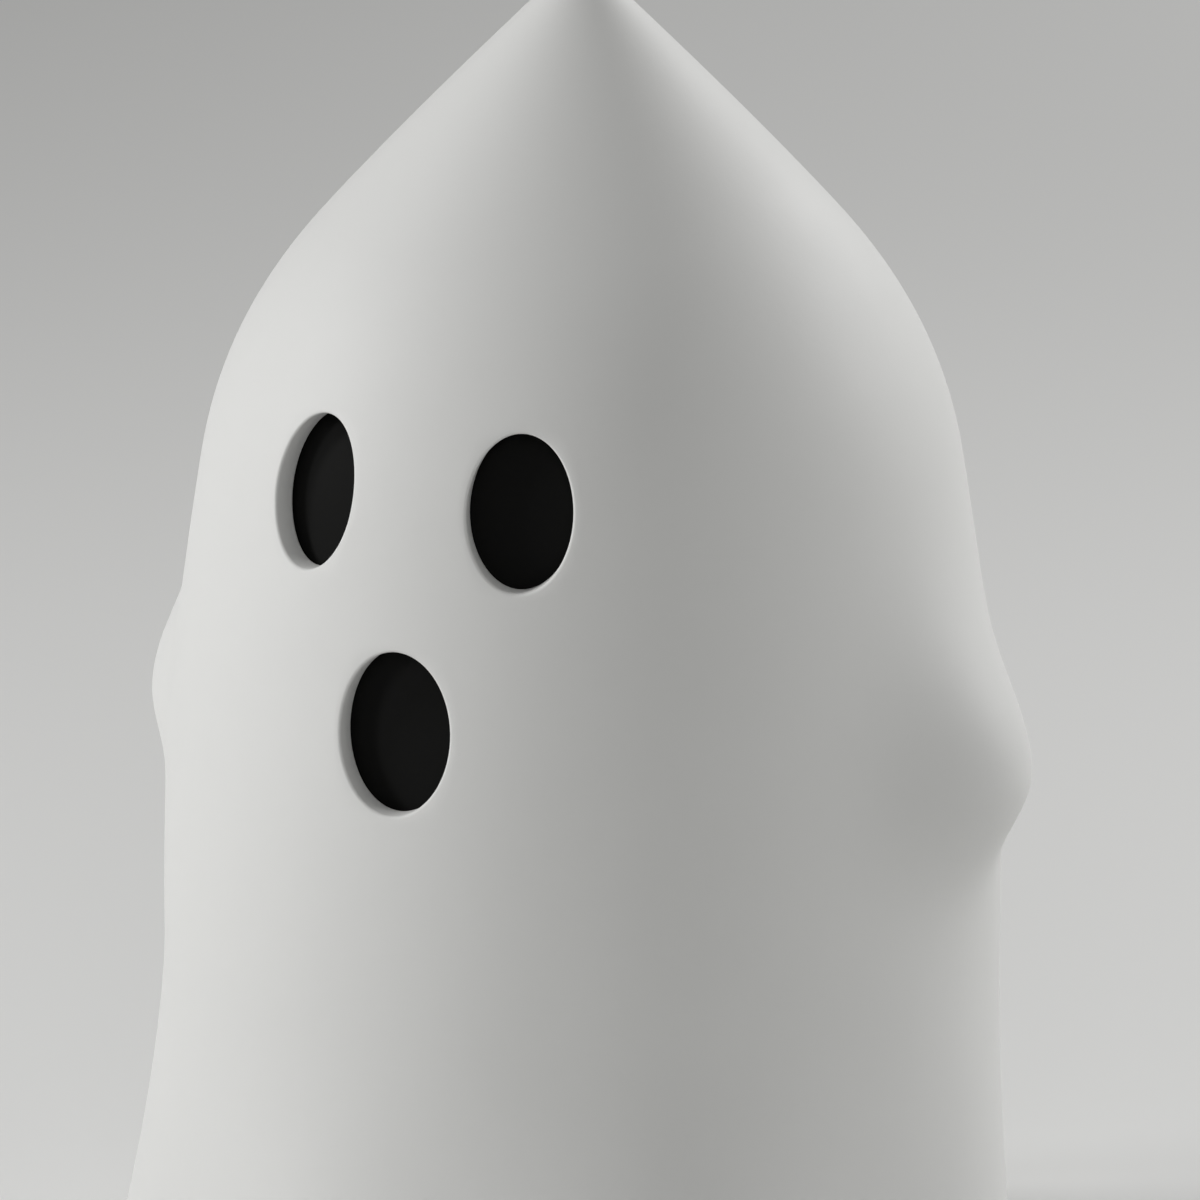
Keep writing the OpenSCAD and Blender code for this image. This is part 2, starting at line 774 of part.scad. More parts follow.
// Sheets that link two neighbouring cells in series
module link_plates() {
    color("lightgray") {
        contact_sheet(-1, 0, 1);
        contact_sheet(1, -1, 0);
    }
}

// Tube of a given number of sides along a path, with frames carried from point to point
function path_tangent(p, i) = unit(p[min(i + 1, len(p) - 1)] - p[max(i - 1, 0)]);
function carried(n, t) = unit(n - (n * t) * t);
function any_normal(t) = unit(cross(t, abs(t[2]) < 0.9 ? [0, 0, 1] : [1, 0, 0]));
module tube(p, r, sides) {
    last = len(p) - 1;
    normals = [
        for (i = 0, n = any_normal(path_tangent(p, 0)); i <= last;
             i = i + 1, n = i <= last ? carried(n, path_tangent(p, i)) : n) n
    ];
    rings = [
        for (i = [0:last])
            let (u = normals[i], v = cross(path_tangent(p, i), u))
            [for (k = [0:sides - 1]) let (t = 360 * k / sides) p[i] + r * cos(t) * u + r * sin(t) * v]
    ];
    count = (last + 1) * sides;
    polyhedron(
        concat(flat_list(rings), [p[0], p[last]]),
        concat(
            [for (i = [0:last - 1]) each strip(i * sides, (i + 1) * sides, sides)],
            flipped(fan(0, count, sides)),
            fan(last * sides, count + 1, sides)));
}

// Conical contact spring from its sheet at z = 0 to the cell's end at z = spring_l, both ends square
coil_rings = 8;
coil_end = 1.5 * spring_wire;
function coil_point(s) =
    let (a = 360 * spring_turns * s, r = spring_foot_r + (spring_tip_r - spring_foot_r) * s)
    [r * cos(a), r * sin(a), coil_end + (spring_l - 2 * coil_end) * s];
coil_steps = spring_turns * coil_rings;
coil_path = concat(
    [[spring_foot_r, 0, seat_gap / 2]],
    [for (i = [0:coil_steps]) coil_point(i / coil_steps)],
    [coil_point(1) + [0, 0, coil_end - seat_gap / 2]]
);
spring_least_gap = min([
    for (i = [1:coil_steps + 1]) for (k = [i + coil_rings - 2:1:coil_steps + 1])
        norm(coil_path[i] - coil_path[k])
]) - spring_wire;
echo(spring_least_gap = spring_least_gap);

module contact_springs() {
    coil_sides = 6;
    places = [[-1, 1], [1, 0], [-1, -1]];
    color("silver")
        for (p = places)
            translate([p[0] * (bay_l / 2 - contact_t), bay_y + p[1] * cell_pitch, cell_z])
                rotate([0, -p[0] * 90, 0])
                    tube(coil_path, spring_wire / 2, coil_sides);
}

// Door with its hinge barrel, pins and thumb recess
module battery_door() {
    thumb_r = 7;
    thumb_depth = 0.6;
    thumb_margin = 2;
    color("gainsboro")
        difference() {
            union() {
                translate([-door_half, hinge_y, under_z])
                    cube([2 * door_half, door_edge_y - hinge_y, door_t]);
                translate([-door_half, hinge_y, hinge_z])
                    rotate([0, 90, 0]) cylinder(r = barrel_r, h = 2 * door_half);
                translate([-door_half - pin_l, hinge_y, hinge_z])
                    rotate([0, 90, 0]) cylinder(r = pin_r, h = 2 * (door_half + pin_l));
            }
            post(thumb_r, thumb_depth + eps, [0, door_edge_y - thumb_r - thumb_margin, under_z - eps]);
        }
}

// Slide switch: a can on a frame plate with two ears
module switch_body() {
    play = 0.4;
    tag = [0.8, 1.2, tag_l + eps];
    well_h = switch_frame[2] + stem_grip + stem_room;
    color("silver")
        difference() {
            union() {
                block(switch_frame, [0, switch_y, switch_seat_z]);
                block(switch_can, [0, switch_y, switch_seat_z + switch_frame[2] - eps]);
                for (s = [-1, 0, 1])
                    block(tag, [s * tag_x, switch_y, tag_z - lead_gap - tag[2]]);
            }
            block(
                [stem_l + switch_travel + play, stem_w + play, well_h],
                [0, switch_y, switch_seat_z - eps]);
            for (p = switch_screw_places)
                post(screw_r + screw_gap, switch_frame[2] + 2 * eps, p + [0, 0, switch_seat_z - eps]);
        }
}

module switch_screws() {
    color("silver")
        for (p = switch_screw_places)
            translate(p + [0, 0, switch_seat_z + switch_frame[2]]) pan_screw(switch_screw_l);
}

// Knob with grip grooves under the plate and a stem up into the switch, at the off end of its travel
module switch_knob() {
    off_x = -switch_travel / 2;
    cap_top = under_z + knob_recess - seat_gap;
    groove_pitch = 1.4;
    groove_end = 0.9;
    groove = [0.7, knob_w - 2 * groove_end, 0.5];
    color([0.13, 0.13, 0.13])
        translate([off_x, switch_y, 0]) {
            difference() {
                rounded_slot(knob_l, knob_w, cap_top - knob_floor_gap, [0, 0, knob_floor_gap]);
                for (s = [-1, 0, 1])
                    block(groove, [s * groove_pitch, 0, knob_floor_gap - eps]);
            }
            block([stem_l, stem_w, switch_seat_z + stem_grip - cap_top + eps], [0, 0, cap_top - eps]);
        }
}

// Smooth path through hand-chosen points
lead_steps = 3;
function spline_point(p0, p1, p2, p3, t) =
    0.5 * (2 * p1 + (p2 - p0) * t + (2 * p0 - 5 * p1 + 4 * p2 - p3) * t * t
        + (3 * p1 - p0 - 3 * p2 + p3) * t * t * t);
function smooth_path(p) = [
    for (i = [0:len(p) - 2]) for (k = [0:lead_steps - 1])
        spline_point(p[max(i - 1, 0)], p[i], p[i + 1], p[min(i + 2, len(p) - 1)], k / lead_steps),
    p[len(p) - 1]
];

module lead(route) {
    lead_sides = 8;
    tube(smooth_path(route), lead_r, lead_sides);
}

module red_lead() { color("firebrick") lead(red_route); }
module black_lead() { color([0.1, 0.1, 0.1]) lead(black_route); }
module white_lead() { color("white") lead(white_route); }

ghost_shell();
left_eye_insert();
right_eye_insert();
mouth_insert();
base_tray();
base_deck();
deck_screws();
rubber_feet();
light_dome();
light_board();
lamps();
resistors();
board_screws();
battery_cell_front();
battery_cell_middle();
battery_cell_rear();
terminal_plates();
link_plates();
contact_springs();
battery_door();
switch_body();
switch_screws();
switch_knob();
red_lead();
black_lead();
white_lead();
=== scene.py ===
"""Looks of the ghost lantern: a white draped shell with a dark face on a round battery base.

Everything is in metres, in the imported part's frame: +Z up, the floor at z = 0, the face
towards -Y. Azimuths are in radians, measured from the face towards +X. A piece's crease is in
degrees: edges sharper than that stay crisp.
"""

import json
import logging
import math
from contextlib import contextmanager
from dataclasses import dataclass
from enum import Enum
from typing import Any, Callable, Iterator, Sequence

import bmesh
import bpy
from mathutils import Matrix, Vector

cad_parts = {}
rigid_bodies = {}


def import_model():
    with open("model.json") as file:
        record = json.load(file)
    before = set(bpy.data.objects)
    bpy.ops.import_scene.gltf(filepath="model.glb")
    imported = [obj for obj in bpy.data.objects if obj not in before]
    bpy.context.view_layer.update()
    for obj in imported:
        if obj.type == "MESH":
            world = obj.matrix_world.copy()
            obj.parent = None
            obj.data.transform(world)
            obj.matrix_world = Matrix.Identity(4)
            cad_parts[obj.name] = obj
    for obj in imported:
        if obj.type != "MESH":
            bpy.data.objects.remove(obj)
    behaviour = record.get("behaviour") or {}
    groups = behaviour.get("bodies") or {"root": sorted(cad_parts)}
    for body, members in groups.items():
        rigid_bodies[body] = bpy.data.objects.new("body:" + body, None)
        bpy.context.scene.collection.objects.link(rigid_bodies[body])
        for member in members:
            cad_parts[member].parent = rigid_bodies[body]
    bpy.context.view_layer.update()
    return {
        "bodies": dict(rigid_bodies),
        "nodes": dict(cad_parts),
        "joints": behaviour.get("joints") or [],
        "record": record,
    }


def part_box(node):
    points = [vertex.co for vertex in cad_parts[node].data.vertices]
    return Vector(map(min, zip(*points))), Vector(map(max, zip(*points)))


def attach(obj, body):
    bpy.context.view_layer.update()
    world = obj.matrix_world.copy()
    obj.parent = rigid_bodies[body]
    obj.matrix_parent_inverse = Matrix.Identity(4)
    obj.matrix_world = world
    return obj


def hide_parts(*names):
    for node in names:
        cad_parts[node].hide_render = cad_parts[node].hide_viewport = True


LOG = logging.getLogger("ghost_lantern")
FULL_TURN = 2 * math.pi
QUARTER_TURN = math.pi / 2
MILLIMETRE = 0.001
MERGE = 0.000001
EDGE_STEPS = 2
WIRE_STEPS = 4
Triple = tuple[float, float, float]
Colour = Triple
Profile = Sequence[tuple[float, float]]
Frame = dict[str, Any]
Looks = dict[str, bpy.types.NodeSocket]


class Body(Enum):
    """The bodies that pieces ride on."""

    BASE = "base"
    SHELL = "shell"
    DOOR = "door"
    KNOB = "knob"


class Slot(Enum):
    """The record's material slots."""

    SHELL_WHITE = "shell_white"
    FACE_BLACK = "face_black"
    BASE_WHITE = "base_white"
    SCREW_STEEL = "screw_steel"
    FOOT_RUBBER = "foot_rubber"
    DOME_FROSTED = "dome_frosted"
    BOARD_GREEN = "board_green"
    LAMP_CLEAR = "lamp_clear"
    CHIP_DARK = "chip_dark"
    CELL_WRAP = "cell_wrap"
    CONTACT_NICKEL = "contact_nickel"
    SWITCH_CAN = "switch_can"
    KNOB_BLACK = "knob_black"
    LEAD_RED = "lead_red"
    LEAD_BLACK = "lead_black"
    LEAD_WHITE = "lead_white"


class Pick(Enum):
    """What an edit-mode pick takes hold of."""

    VERTS = "VERT"
    EDGES = "EDGE"
    FACES = "FACE"


def clear_bench() -> None:
    """Leaves edit mode and deselects every object."""
    if bpy.context.mode != "OBJECT":
        bpy.ops.object.mode_set(mode="OBJECT")
    bpy.ops.object.select_all(action="DESELECT")


def quarter_arc(steps: int) -> list[float]:
    """Angles of a quarter turn in even steps, both ends among them."""
    return [QUARTER_TURN * index / steps for index in range(steps + 1)]


class Workpiece:
    """A mesh object, shaped by edit-mode operators and finished by applied modifiers."""

    def __init__(self, obj: bpy.types.Object) -> None:
        """Takes hold of an object."""
        self.obj = obj

    @classmethod
    def start(cls, name: str, add: Callable[..., set[str]], **sizes: Any) -> "Workpiece":
        """Adds a primitive as a new object whose place is in its mesh.

        Args:
            name: Name of the piece.
            add: Operator that adds the primitive.
            **sizes: The primitive's own sizes and place.

        Returns:
            The new piece.
        """
        clear_bench()
        add(**sizes)
        piece = cls(bpy.context.active_object)
        piece.settle(name)
        return piece

    @classmethod
    def turned(
        cls, name: str, profile: Profile, steps: int, closed: bool = False
    ) -> "Workpiece":
        """Draws a half profile point by point and spins it round the upright axis.

        Args:
            name: Name of the piece.
            profile: Radius and height of each point, in order along the outline.
            steps: Number of steps round the axis.
            closed: Whether the last point joins the first, as on a ring.

        Returns:
            The turned piece, with its faces outwards.
        """
        points = [Vector((0.0, -radius, height)) for radius, height in profile]
        if closed:
            points.append(points[0])
        add = bpy.ops.mesh.primitive_plane_add
        piece = cls.start(name, add, size=MERGE, location=points[0])
        with piece.edit(whole=True):
            bpy.ops.mesh.merge(type="CENTER")
            for last, point in zip(points, points[1:]):
                bpy.ops.mesh.extrude_vertices_move(
                    TRANSFORM_OT_translate={"value": point - last})
            bpy.ops.mesh.select_all(action="SELECT")
            bpy.ops.mesh.spin(steps=steps, angle=FULL_TURN, center=(0, 0, 0), axis=(0, 0, 1))
        piece.close_seams()
        return piece

    @classmethod
    def block(
        cls, name: str, size: Sequence[float], middle: Vector, edge: float = 0.0
    ) -> "Workpiece":
        """Adds a block at its size and place, with all its edges rounded.

        Args:
            name: Name of the piece.
            size: Length along each axis.
            middle: Middle of the block.
            edge: Radius of the rounded edges.

        Returns:
            The new piece.
        """
        piece = cls.start(name, bpy.ops.mesh.primitive_cube_add, size=1.0, location=middle)
        with piece.edit(whole=True):
            bpy.ops.transform.resize(value=size, center_override=middle)
            if edge:
                bpy.ops.mesh.bevel(offset=edge, segments=EDGE_STEPS, affect="EDGES")
        return piece

    @classmethod
    def tube(cls, name: str, route: Sequence[Vector], radius: float) -> "Workpiece":
        """Draws a round wire along a route.

        Args:
            name: Name of the piece.
            route: Closely spaced points along the wire's middle.
            radius: Radius of the wire.

        Returns:
            The wire, with closed ends.
        """
        clear_bench()
        curve = bpy.data.curves.new(name, "CURVE")
        curve.dimensions = "3D"
        curve.bevel_depth = radius
        curve.bevel_resolution = WIRE_STEPS
        curve.use_fill_caps = True
        spline = curve.splines.new("POLY")
        spline.points.add(len(route) - 1)
        for point, place in zip(spline.points, route):
            point.co = (*place, 1.0)
        piece = cls(bpy.data.objects.new(name, curve))
        bpy.context.scene.collection.objects.link(piece.obj)
        piece.hold()
        bpy.ops.object.convert(target="MESH")
        piece.obj.data.name = name
        piece.close_seams()
        return piece

    @classmethod
    def from_node(cls, name: str, node: bpy.types.Object) -> "Workpiece":
        """Copies a CAD node's mesh and joins its loose triangles.

        Args:
            name: Name of the piece.
            node: The CAD node's object, which stays as it is.

        Returns:
            The copy.
        """
        piece = cls(bpy.data.objects.new(name, node.data.copy()))
        piece.obj.data.name = name
        bpy.context.scene.collection.objects.link(piece.obj)
        with piece.edit(whole=True):
            bpy.ops.mesh.customdata_custom_splitnormals_clear()
            bpy.ops.mesh.remove_doubles(threshold=MERGE)
        return piece

    def settle(self, name: str) -> None:
        """Names the object and its mesh, and takes the object's place into the mesh.

        Args:
            name: Name of the piece.
        """
        self.obj.name = name
        self.obj.data.name = name
        bpy.ops.object.transform_apply(location=True, rotation=True, scale=True)

    def hold(self) -> None:
        """Selects this piece alone and makes it active."""
        clear_bench()
        self.obj.select_set(True)
        bpy.context.view_layer.objects.active = self.obj

    @contextmanager
    def edit(self, whole: bool = False) -> Iterator[None]:
        """Opens the mesh in edit mode, and closes it again.

        Args:
            whole: Whether all of the mesh is picked at first, or nothing.

        Yields:
            Nothing: what is done to the mesh comes in between.
        """
        self.hold()
        bpy.ops.object.mode_set(mode="EDIT")
        bpy.ops.mesh.select_mode(type=Pick.VERTS.value)
        bpy.ops.mesh.select_all(action="SELECT" if whole else "DESELECT")
        yield
        bpy.ops.object.mode_set(mode="OBJECT")

    def pick(self, kind: Pick, test: Callable[[Any], bool]) -> int:
        """Picks what passes a test and nothing else, in edit mode.

        Args:
            kind: Whether vertices, edges or faces are picked.
            test: Says of one vertex, edge or face whether it is picked.

        Returns:
            How many passed the test.
        """
        bpy.ops.mesh.select_mode(type=kind.value)
        bpy.ops.mesh.select_all(action="DESELECT")
        mesh = bmesh.from_edit_mesh(self.obj.data)
        items = {Pick.VERTS: mesh.verts, Pick.EDGES: mesh.edges, Pick.FACES: mesh.faces}[kind]
        passed = [item for item in items if test(item)]
        for item in passed:
            item.select_set(True)
        mesh.select_flush_mode()
        bmesh.update_edit_mesh(self.obj.data, loop_triangles=False, destructive=False)
        return len(passed)

    def press(self, place: Callable[[Vector], Vector]) -> None:
        """Moves every vertex to where a rule puts it, in object mode."""
        for vertex in self.obj.data.vertices:
            vertex.co = place(vertex.co)

    def apply(self, kind: str, **values: Any) -> None:
        """Adds a modifier, sets its values and applies it.

        Args:
            kind: Type of the modifier.
            **values: The modifier's own settings.
        """
        self.hold()
        modifier = self.obj.modifiers.new(kind.title(), kind)
        for name, value in values.items():
            setattr(modifier, name, value)
        bpy.ops.object.modifier_apply(modifier=modifier.name)

    def smooth(self, crease: float) -> None:
        """Shades the piece smooth, with edges sharper than its crease left crisp."""
        self.hold()
        bpy.ops.object.shade_smooth_by_angle(angle=math.radians(crease))

    @staticmethod
    def face_outwards() -> None:
        """Turns every face of the mesh that is in edit mode outwards."""
        bpy.ops.mesh.select_all(action="SELECT")
        bpy.ops.mesh.normals_make_consistent(inside=False)

    def close_seams(self) -> None:
        """Joins doubled points, clears faces without area and turns the rest outwards."""
        with self.edit(whole=True):
            bpy.ops.mesh.remove_doubles(threshold=MERGE)
            bpy.ops.mesh.dissolve_degenerate(threshold=MERGE)
            self.face_outwards()

    def copy(self, name: str, place: Matrix) -> "Workpiece":
        """Copies the piece, with a mesh of its own, to another place.

        Args:
            name: Name of the copy.
            place: Turn and shift from the piece to the copy.

        Returns:
            The copy.
        """
        self.hold()
        bpy.ops.object.duplicate(linked=False)
        twin = Workpiece(bpy.context.active_object)
        twin.obj.matrix_world = place
        twin.settle(name)
        return twin

    def ring(self, turns: Sequence[float], out: float) -> list["Workpiece"]:
        """Copies a piece that was modelled on the axis to places round the lantern.

        Args:
            turns: Azimuths of the copies.
            out: Distance of the copies from the axis.

        Returns:
            The copies, numbered from 1, in place of the piece.
        """
        step = Matrix.Translation((0.0, -out, 0.0))
        copies = [self.copy(f"{self.obj.name}_{number}", Matrix.Rotation(turn, 4, "Z") @ step)
                  for number, turn in enumerate(turns, 1)]
        self.discard()
        return copies

    def discard(self) -> None:
        """Takes the piece off the bench."""
        bpy.data.objects.remove(self.obj)

    def cut(self, cutter: "Workpiece") -> None:
        """Cuts another piece out of this one.

        Args:
            cutter: The other piece, which is taken off the bench.
        """
        self.apply("BOOLEAN", operation="DIFFERENCE", solver="EXACT", object=cutter.obj)
        cutter.discard()
        self.close_seams()

    def round_edges(self, radius: float, crease: float) -> None:
        """Rounds every edge sharper than a crease."""
        self.apply("BEVEL", width=radius, segments=EDGE_STEPS, limit_method="ANGLE",
                   angle_limit=math.radians(crease), loop_slide=False, use_clamp_overlap=False)

    def dress(self, finish: "Finish") -> None:
        """Gives the whole piece a finish."""
        self.obj.data.materials.clear()
        self.obj.data.materials.append(finish.material())

    def accent(self, finish: "Finish", test: Callable[[bmesh.types.BMFace], bool]) -> None:
        """Gives another finish to the faces that pass a test.

        Args:
            finish: Finish of those faces.
            test: Says of one face whether it takes the finish.
        """
        self.obj.data.materials.append(finish.material())
        with self.edit():
            self.pick(Pick.FACES, test)
            self.obj.active_material_index = len(self.obj.data.materials) - 1
            bpy.ops.object.material_slot_assign()

    def fit(self, body: Body, slot: Slot, *nodes: str) -> None:
        """Puts the piece on its body and lets it stand for CAD nodes.

        Args:
            body: Body that the piece rides on.
            slot: Material slot that its finish belongs to; not used.
            *nodes: CAD nodes that the piece replaces.
        """
        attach(self.obj, body.value)
        if nodes:
            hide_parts(*nodes)
        LOG.info("%s: %d faces on %s", self.obj.name, len(self.obj.data.polygons), body.value)


class NodeSheet:
    """Short hand for adding and joining shader nodes."""

    def __init__(self, tree: bpy.types.NodeTree) -> None:
        """Starts on an empty tree."""
        self.tree = tree
        tree.nodes.clear()

    def feed(self, socket: bpy.types.NodeSocket, value: Any) -> None:
        """Joins an output to an input socket, or sets a value on it.

        Args:
            socket: The input socket.
            value: Value or output.
        """
        if isinstance(value, bpy.types.NodeSocket):
            self.tree.links.new(value, socket)
        else:
            socket.default_value = value

    def add(
        self, kind: str, settings: dict[str, Any] | None = None, *values: Any, **inputs: Any
    ) -> bpy.types.Node:
        """Adds a node.

        Args:
            kind: Type of the node.
            settings: The node's own properties.
            *values: Values or outputs for its first input sockets, in order.
            **inputs: Values or outputs by the socket's name, underscores for spaces.

        Returns:
            The new node.
        """
        node = self.tree.nodes.new(kind)
        for name, value in (settings or {}).items():
            setattr(node, name, value)
        for socket, value in zip(node.inputs, values):
            self.feed(socket, value)
        for name, value in inputs.items():
            self.feed(node.inputs[name.replace("_", " ")], value)
        return node

    def math(self, operation: str, first: Any, second: Any) -> bpy.types.NodeSocket:
        """Adds a sum with two values or outputs, and gives the output of its result."""
        return self.add("ShaderNodeMath", {"operation": operation}, first, second).outputs[0]

    def vector(self, operation: str, *values: Any, **inputs: Any) -> bpy.types.Node:
        """Adds a sum of vectors and gives its node."""
        return self.add("ShaderNodeVectorMath", {"operation": operation}, *values, **inputs)

    def place(self) -> bpy.types.NodeSocket:
        """Adds the Object coordinates and gives their output."""
        return self.add("ShaderNodeTexCoord").outputs["Object"]

    def noise(self, place: Any, scale: Any, detail: float) -> bpy.types.NodeSocket:
        """Adds a noise at a place, with a scale, and gives its output."""
        node = self.add("ShaderNodeTexNoise", Vector=place, Scale=scale, Detail=detail)
        return node.outputs["Fac"]


class Grain:
    """Shared effect of moulded and cast surfaces: cloudy colour, uneven gloss, a fine skin."""

    NAME = "moulded_grain"
    CLOUD_DETAIL = 3.0
    STREAK_DETAIL = 2.0
    MEAN_NOISE = 0.5
    INPUTS = {
        "Colour": "NodeSocketColor",
        "Mottle": "NodeSocketFloat",
        "Mottle Scale": "NodeSocketFloat",
        "Gloss": "NodeSocketFloat",
        "Gloss Spread": "NodeSocketFloat",
        "Grain Scale": "NodeSocketFloat",
        "Stretch": "NodeSocketVector",
    }
    OUTPUTS = {
        "Colour": "NodeSocketColor",
        "Roughness": "NodeSocketFloat",
        "Height": "NodeSocketFloat",
    }

    @classmethod
    def group(cls) -> bpy.types.NodeTree:
        """Builds the node group once.

        Returns:
            The node group.
        """
        found = bpy.data.node_groups.get(cls.NAME)
        if found:
            return found
        tree = bpy.data.node_groups.new(cls.NAME, "ShaderNodeTree")
        for way, sockets in (("INPUT", cls.INPUTS), ("OUTPUT", cls.OUTPUTS)):
            for name, kind in sockets.items():
                tree.interface.new_socket(name, in_out=way, socket_type=kind)
        sheet = NodeSheet(tree)
        given = sheet.add("NodeGroupInput").outputs
        place = sheet.place()
        cloud = sheet.noise(place, given["Mottle Scale"], cls.CLOUD_DETAIL)
        drawn = sheet.vector("MULTIPLY", place, given["Stretch"]).outputs[0]
        streak = sheet.noise(drawn, given["Grain Scale"], cls.STREAK_DETAIL)
        shade = sheet.math("SUBTRACT", 1.0, sheet.math("MULTIPLY", cloud, given["Mottle"]))
        tinted = sheet.vector("SCALE", given["Colour"], Scale=shade).outputs[0]
        uneven = sheet.math("SUBTRACT", cloud, cls.MEAN_NOISE)
        spread = sheet.math("MULTIPLY", uneven, given["Gloss Spread"])
        rough = sheet.math("ADD", given["Gloss"], spread)
        sheet.add("NodeGroupOutput", Colour=tinted, Roughness=rough, Height=streak)
        return tree


@dataclass(frozen=True)
class Finish:
    """A surface with a slightly clouded colour, uneven gloss and a fine grain in its skin."""

    name: str
    colour: Colour
    roughness: float
    spread: float = 0.1
    mottle: float = 0.05
    mottle_scale: float = 60.0
    grain_scale: float = 900.0
    grain_depth: float = 0.00004
    grain_strength: float = 0.3
    stretch: Triple = (1.0, 1.0, 1.0)
    metallic: float = 0.0
    specular: float = 0.5
    transmission: float = 0.0

    def overlay(self, sheet: NodeSheet, looks: Looks) -> Looks:
        """Draws what lies over the grain; a plain finish has nothing there."""
        return looks

    def material(self) -> bpy.types.Material:
        """Builds the material once.

        Returns:
            The material.
        """
        found = bpy.data.materials.get(self.name)
        if found:
            return found
        material = bpy.data.materials.new(self.name)
        material.use_nodes = True
        sheet = NodeSheet(material.node_tree)
        grain = sheet.add(
            "ShaderNodeGroup", {"node_tree": Grain.group()}, (*self.colour, 1.0), self.mottle,
            self.mottle_scale, self.roughness, self.spread, self.grain_scale, self.stretch).outputs
        bump = sheet.add("ShaderNodeBump", Strength=self.grain_strength,
                         Distance=self.grain_depth, Height=grain["Height"])
        shader = sheet.add(
            "ShaderNodeBsdfPrincipled", Metallic=self.metallic, Specular_IOR_Level=self.specular,
            Transmission_Weight=self.transmission, Normal=bump.outputs["Normal"])
        looks = {"Base Color": grain["Colour"], "Roughness": grain["Roughness"]}
        for name, output in self.overlay(sheet, looks).items():
            sheet.feed(shader.inputs[name], output)
        sheet.add("ShaderNodeOutputMaterial", Surface=shader.outputs["BSDF"])
        return material


@dataclass(frozen=True)
class MetalFinish(Finish):
    """Plated metal, with a gloss that is more uneven and a finer skin."""

    spread: float = 0.2
    grain_depth: float = 0.00001
    metallic: float = 1.0


@dataclass(frozen=True)
class SleeveFinish(Finish):
    """Shrunk plastic sleeve with a long, shallow ripple."""

    mottle: float = 0.08
    grain_scale: float = 500.0
    grain_depth: float = 0.00002


@dataclass(frozen=True)
class BoardFinish(Finish):
    """Green solder mask that leaves round tinned pads bare, each with its place and radius."""

    tin: Colour = (0.68, 0.67, 0.64)
    pads: Sequence[Triple] = ()

    def overlay(self, sheet: NodeSheet, looks: Looks) -> Looks:
        """Draws the pads over the mask.

        Args:
            sheet: Sheet of the material's nodes.
            looks: Outputs of the mask by the shader's socket names.

        Returns:
            Outputs of the mask with its pads.
        """
        level = sheet.vector("MULTIPLY", sheet.place(), (1.0, 1.0, 0.0)).outputs[0]
        bare = None
        for x, y, radius in self.pads:
            away = sheet.vector("DISTANCE", level, (x, y, 0.0)).outputs["Value"]
            inside = sheet.math("LESS_THAN", away, radius)
            bare = sheet.math("MAXIMUM", bare, inside) if bare else inside
        colour = sheet.add("ShaderNodeMixRGB", Fac=bare, Color1=looks["Base Color"],
                           Color2=(*self.tin, 1.0))
        return {**looks, "Base Color": colour.outputs["Color"], "Metallic": bare}


BRUSHED = (0.06, 1.0, 1.0)
SCREW_LANDS = ((0.00575, -0.00996, 0.0026), (0.00575, 0.00996, 0.0026), (-0.0115, 0.0, 0.0026))
LEAD_PADS = ((0.002, 0.0125, 0.0012), (-0.002, 0.0125, 0.0012))
SHELL_WHITE = Finish("shell_white_matte", (0.80, 0.80, 0.785), 0.6, mottle=0.03)
FACE_BLACK = Finish("face_black_matte", (0.0055, 0.0055, 0.0052), 0.75, specular=0.1)
BASE_WHITE = Finish("base_white_textured", (0.72, 0.72, 0.7), 0.55,
                    grain_scale=2600.0, grain_depth=0.00005)
SCREW_STEEL = MetalFinish("screw_steel_plated", (0.62, 0.62, 0.63), 0.3,
                          mottle=0.1, mottle_scale=400.0, grain_scale=3000.0)
FOOT_RUBBER = Finish("foot_rubber_matte", (0.03, 0.03, 0.03), 0.85,
                     grain_scale=2000.0, grain_depth=0.00006)
DOME_FROSTED = Finish("dome_frosted_plastic", (0.93, 0.925, 0.9), 0.45,
                      grain_scale=2600.0, transmission=0.35)
BOARD_GREEN = BoardFinish("board_green_mask", (0.03, 0.2, 0.1), 0.3,
                          mottle=0.15, mottle_scale=250.0, pads=SCREW_LANDS + LEAD_PADS)
LAMP_CLEAR = Finish("lamp_clear_resin", (0.92, 0.9, 0.8), 0.12,
                    grain_strength=0.05, transmission=0.85)
CHIP_DARK = Finish("chip_dark_ceramic", (0.06, 0.06, 0.06), 0.5,
                   grain_scale=4000.0, grain_depth=0.00001)
CELL_WRAP = SleeveFinish("cell_wrap_sleeve", (0.7, 0.3, 0.08), 0.35)
CELL_BAND = SleeveFinish("cell_wrap_band", (0.75, 0.72, 0.62), 0.35)
CONTACT_NICKEL = MetalFinish("contact_nickel_plate", (0.7, 0.69, 0.66), 0.28, mottle=0.08,
                             mottle_scale=200.0, grain_scale=3500.0, stretch=BRUSHED)
SWITCH_CAN = MetalFinish("switch_can_tin", (0.66, 0.66, 0.67), 0.32, mottle=0.1,
                         mottle_scale=200.0, grain_scale=3500.0, stretch=BRUSHED)
KNOB_BLACK = Finish("knob_black_satin", (0.03, 0.03, 0.03), 0.45, grain_scale=2600.0)
LEAD_RED = Finish("lead_red_insulation", (0.45, 0.04, 0.03), 0.4, mottle=0.12)
LEAD_BLACK = Finish("lead_black_insulation", (0.03, 0.03, 0.03), 0.4, mottle=0.12)
LEAD_WHITE = Finish("lead_white_insulation", (0.8, 0.8, 0.78), 0.4, mottle=0.06)
FLOOR_PALE = Finish("floor_pale", (0.7875, 0.7875, 0.777), 0.9, mottle=0.0, grain_strength=0.0)


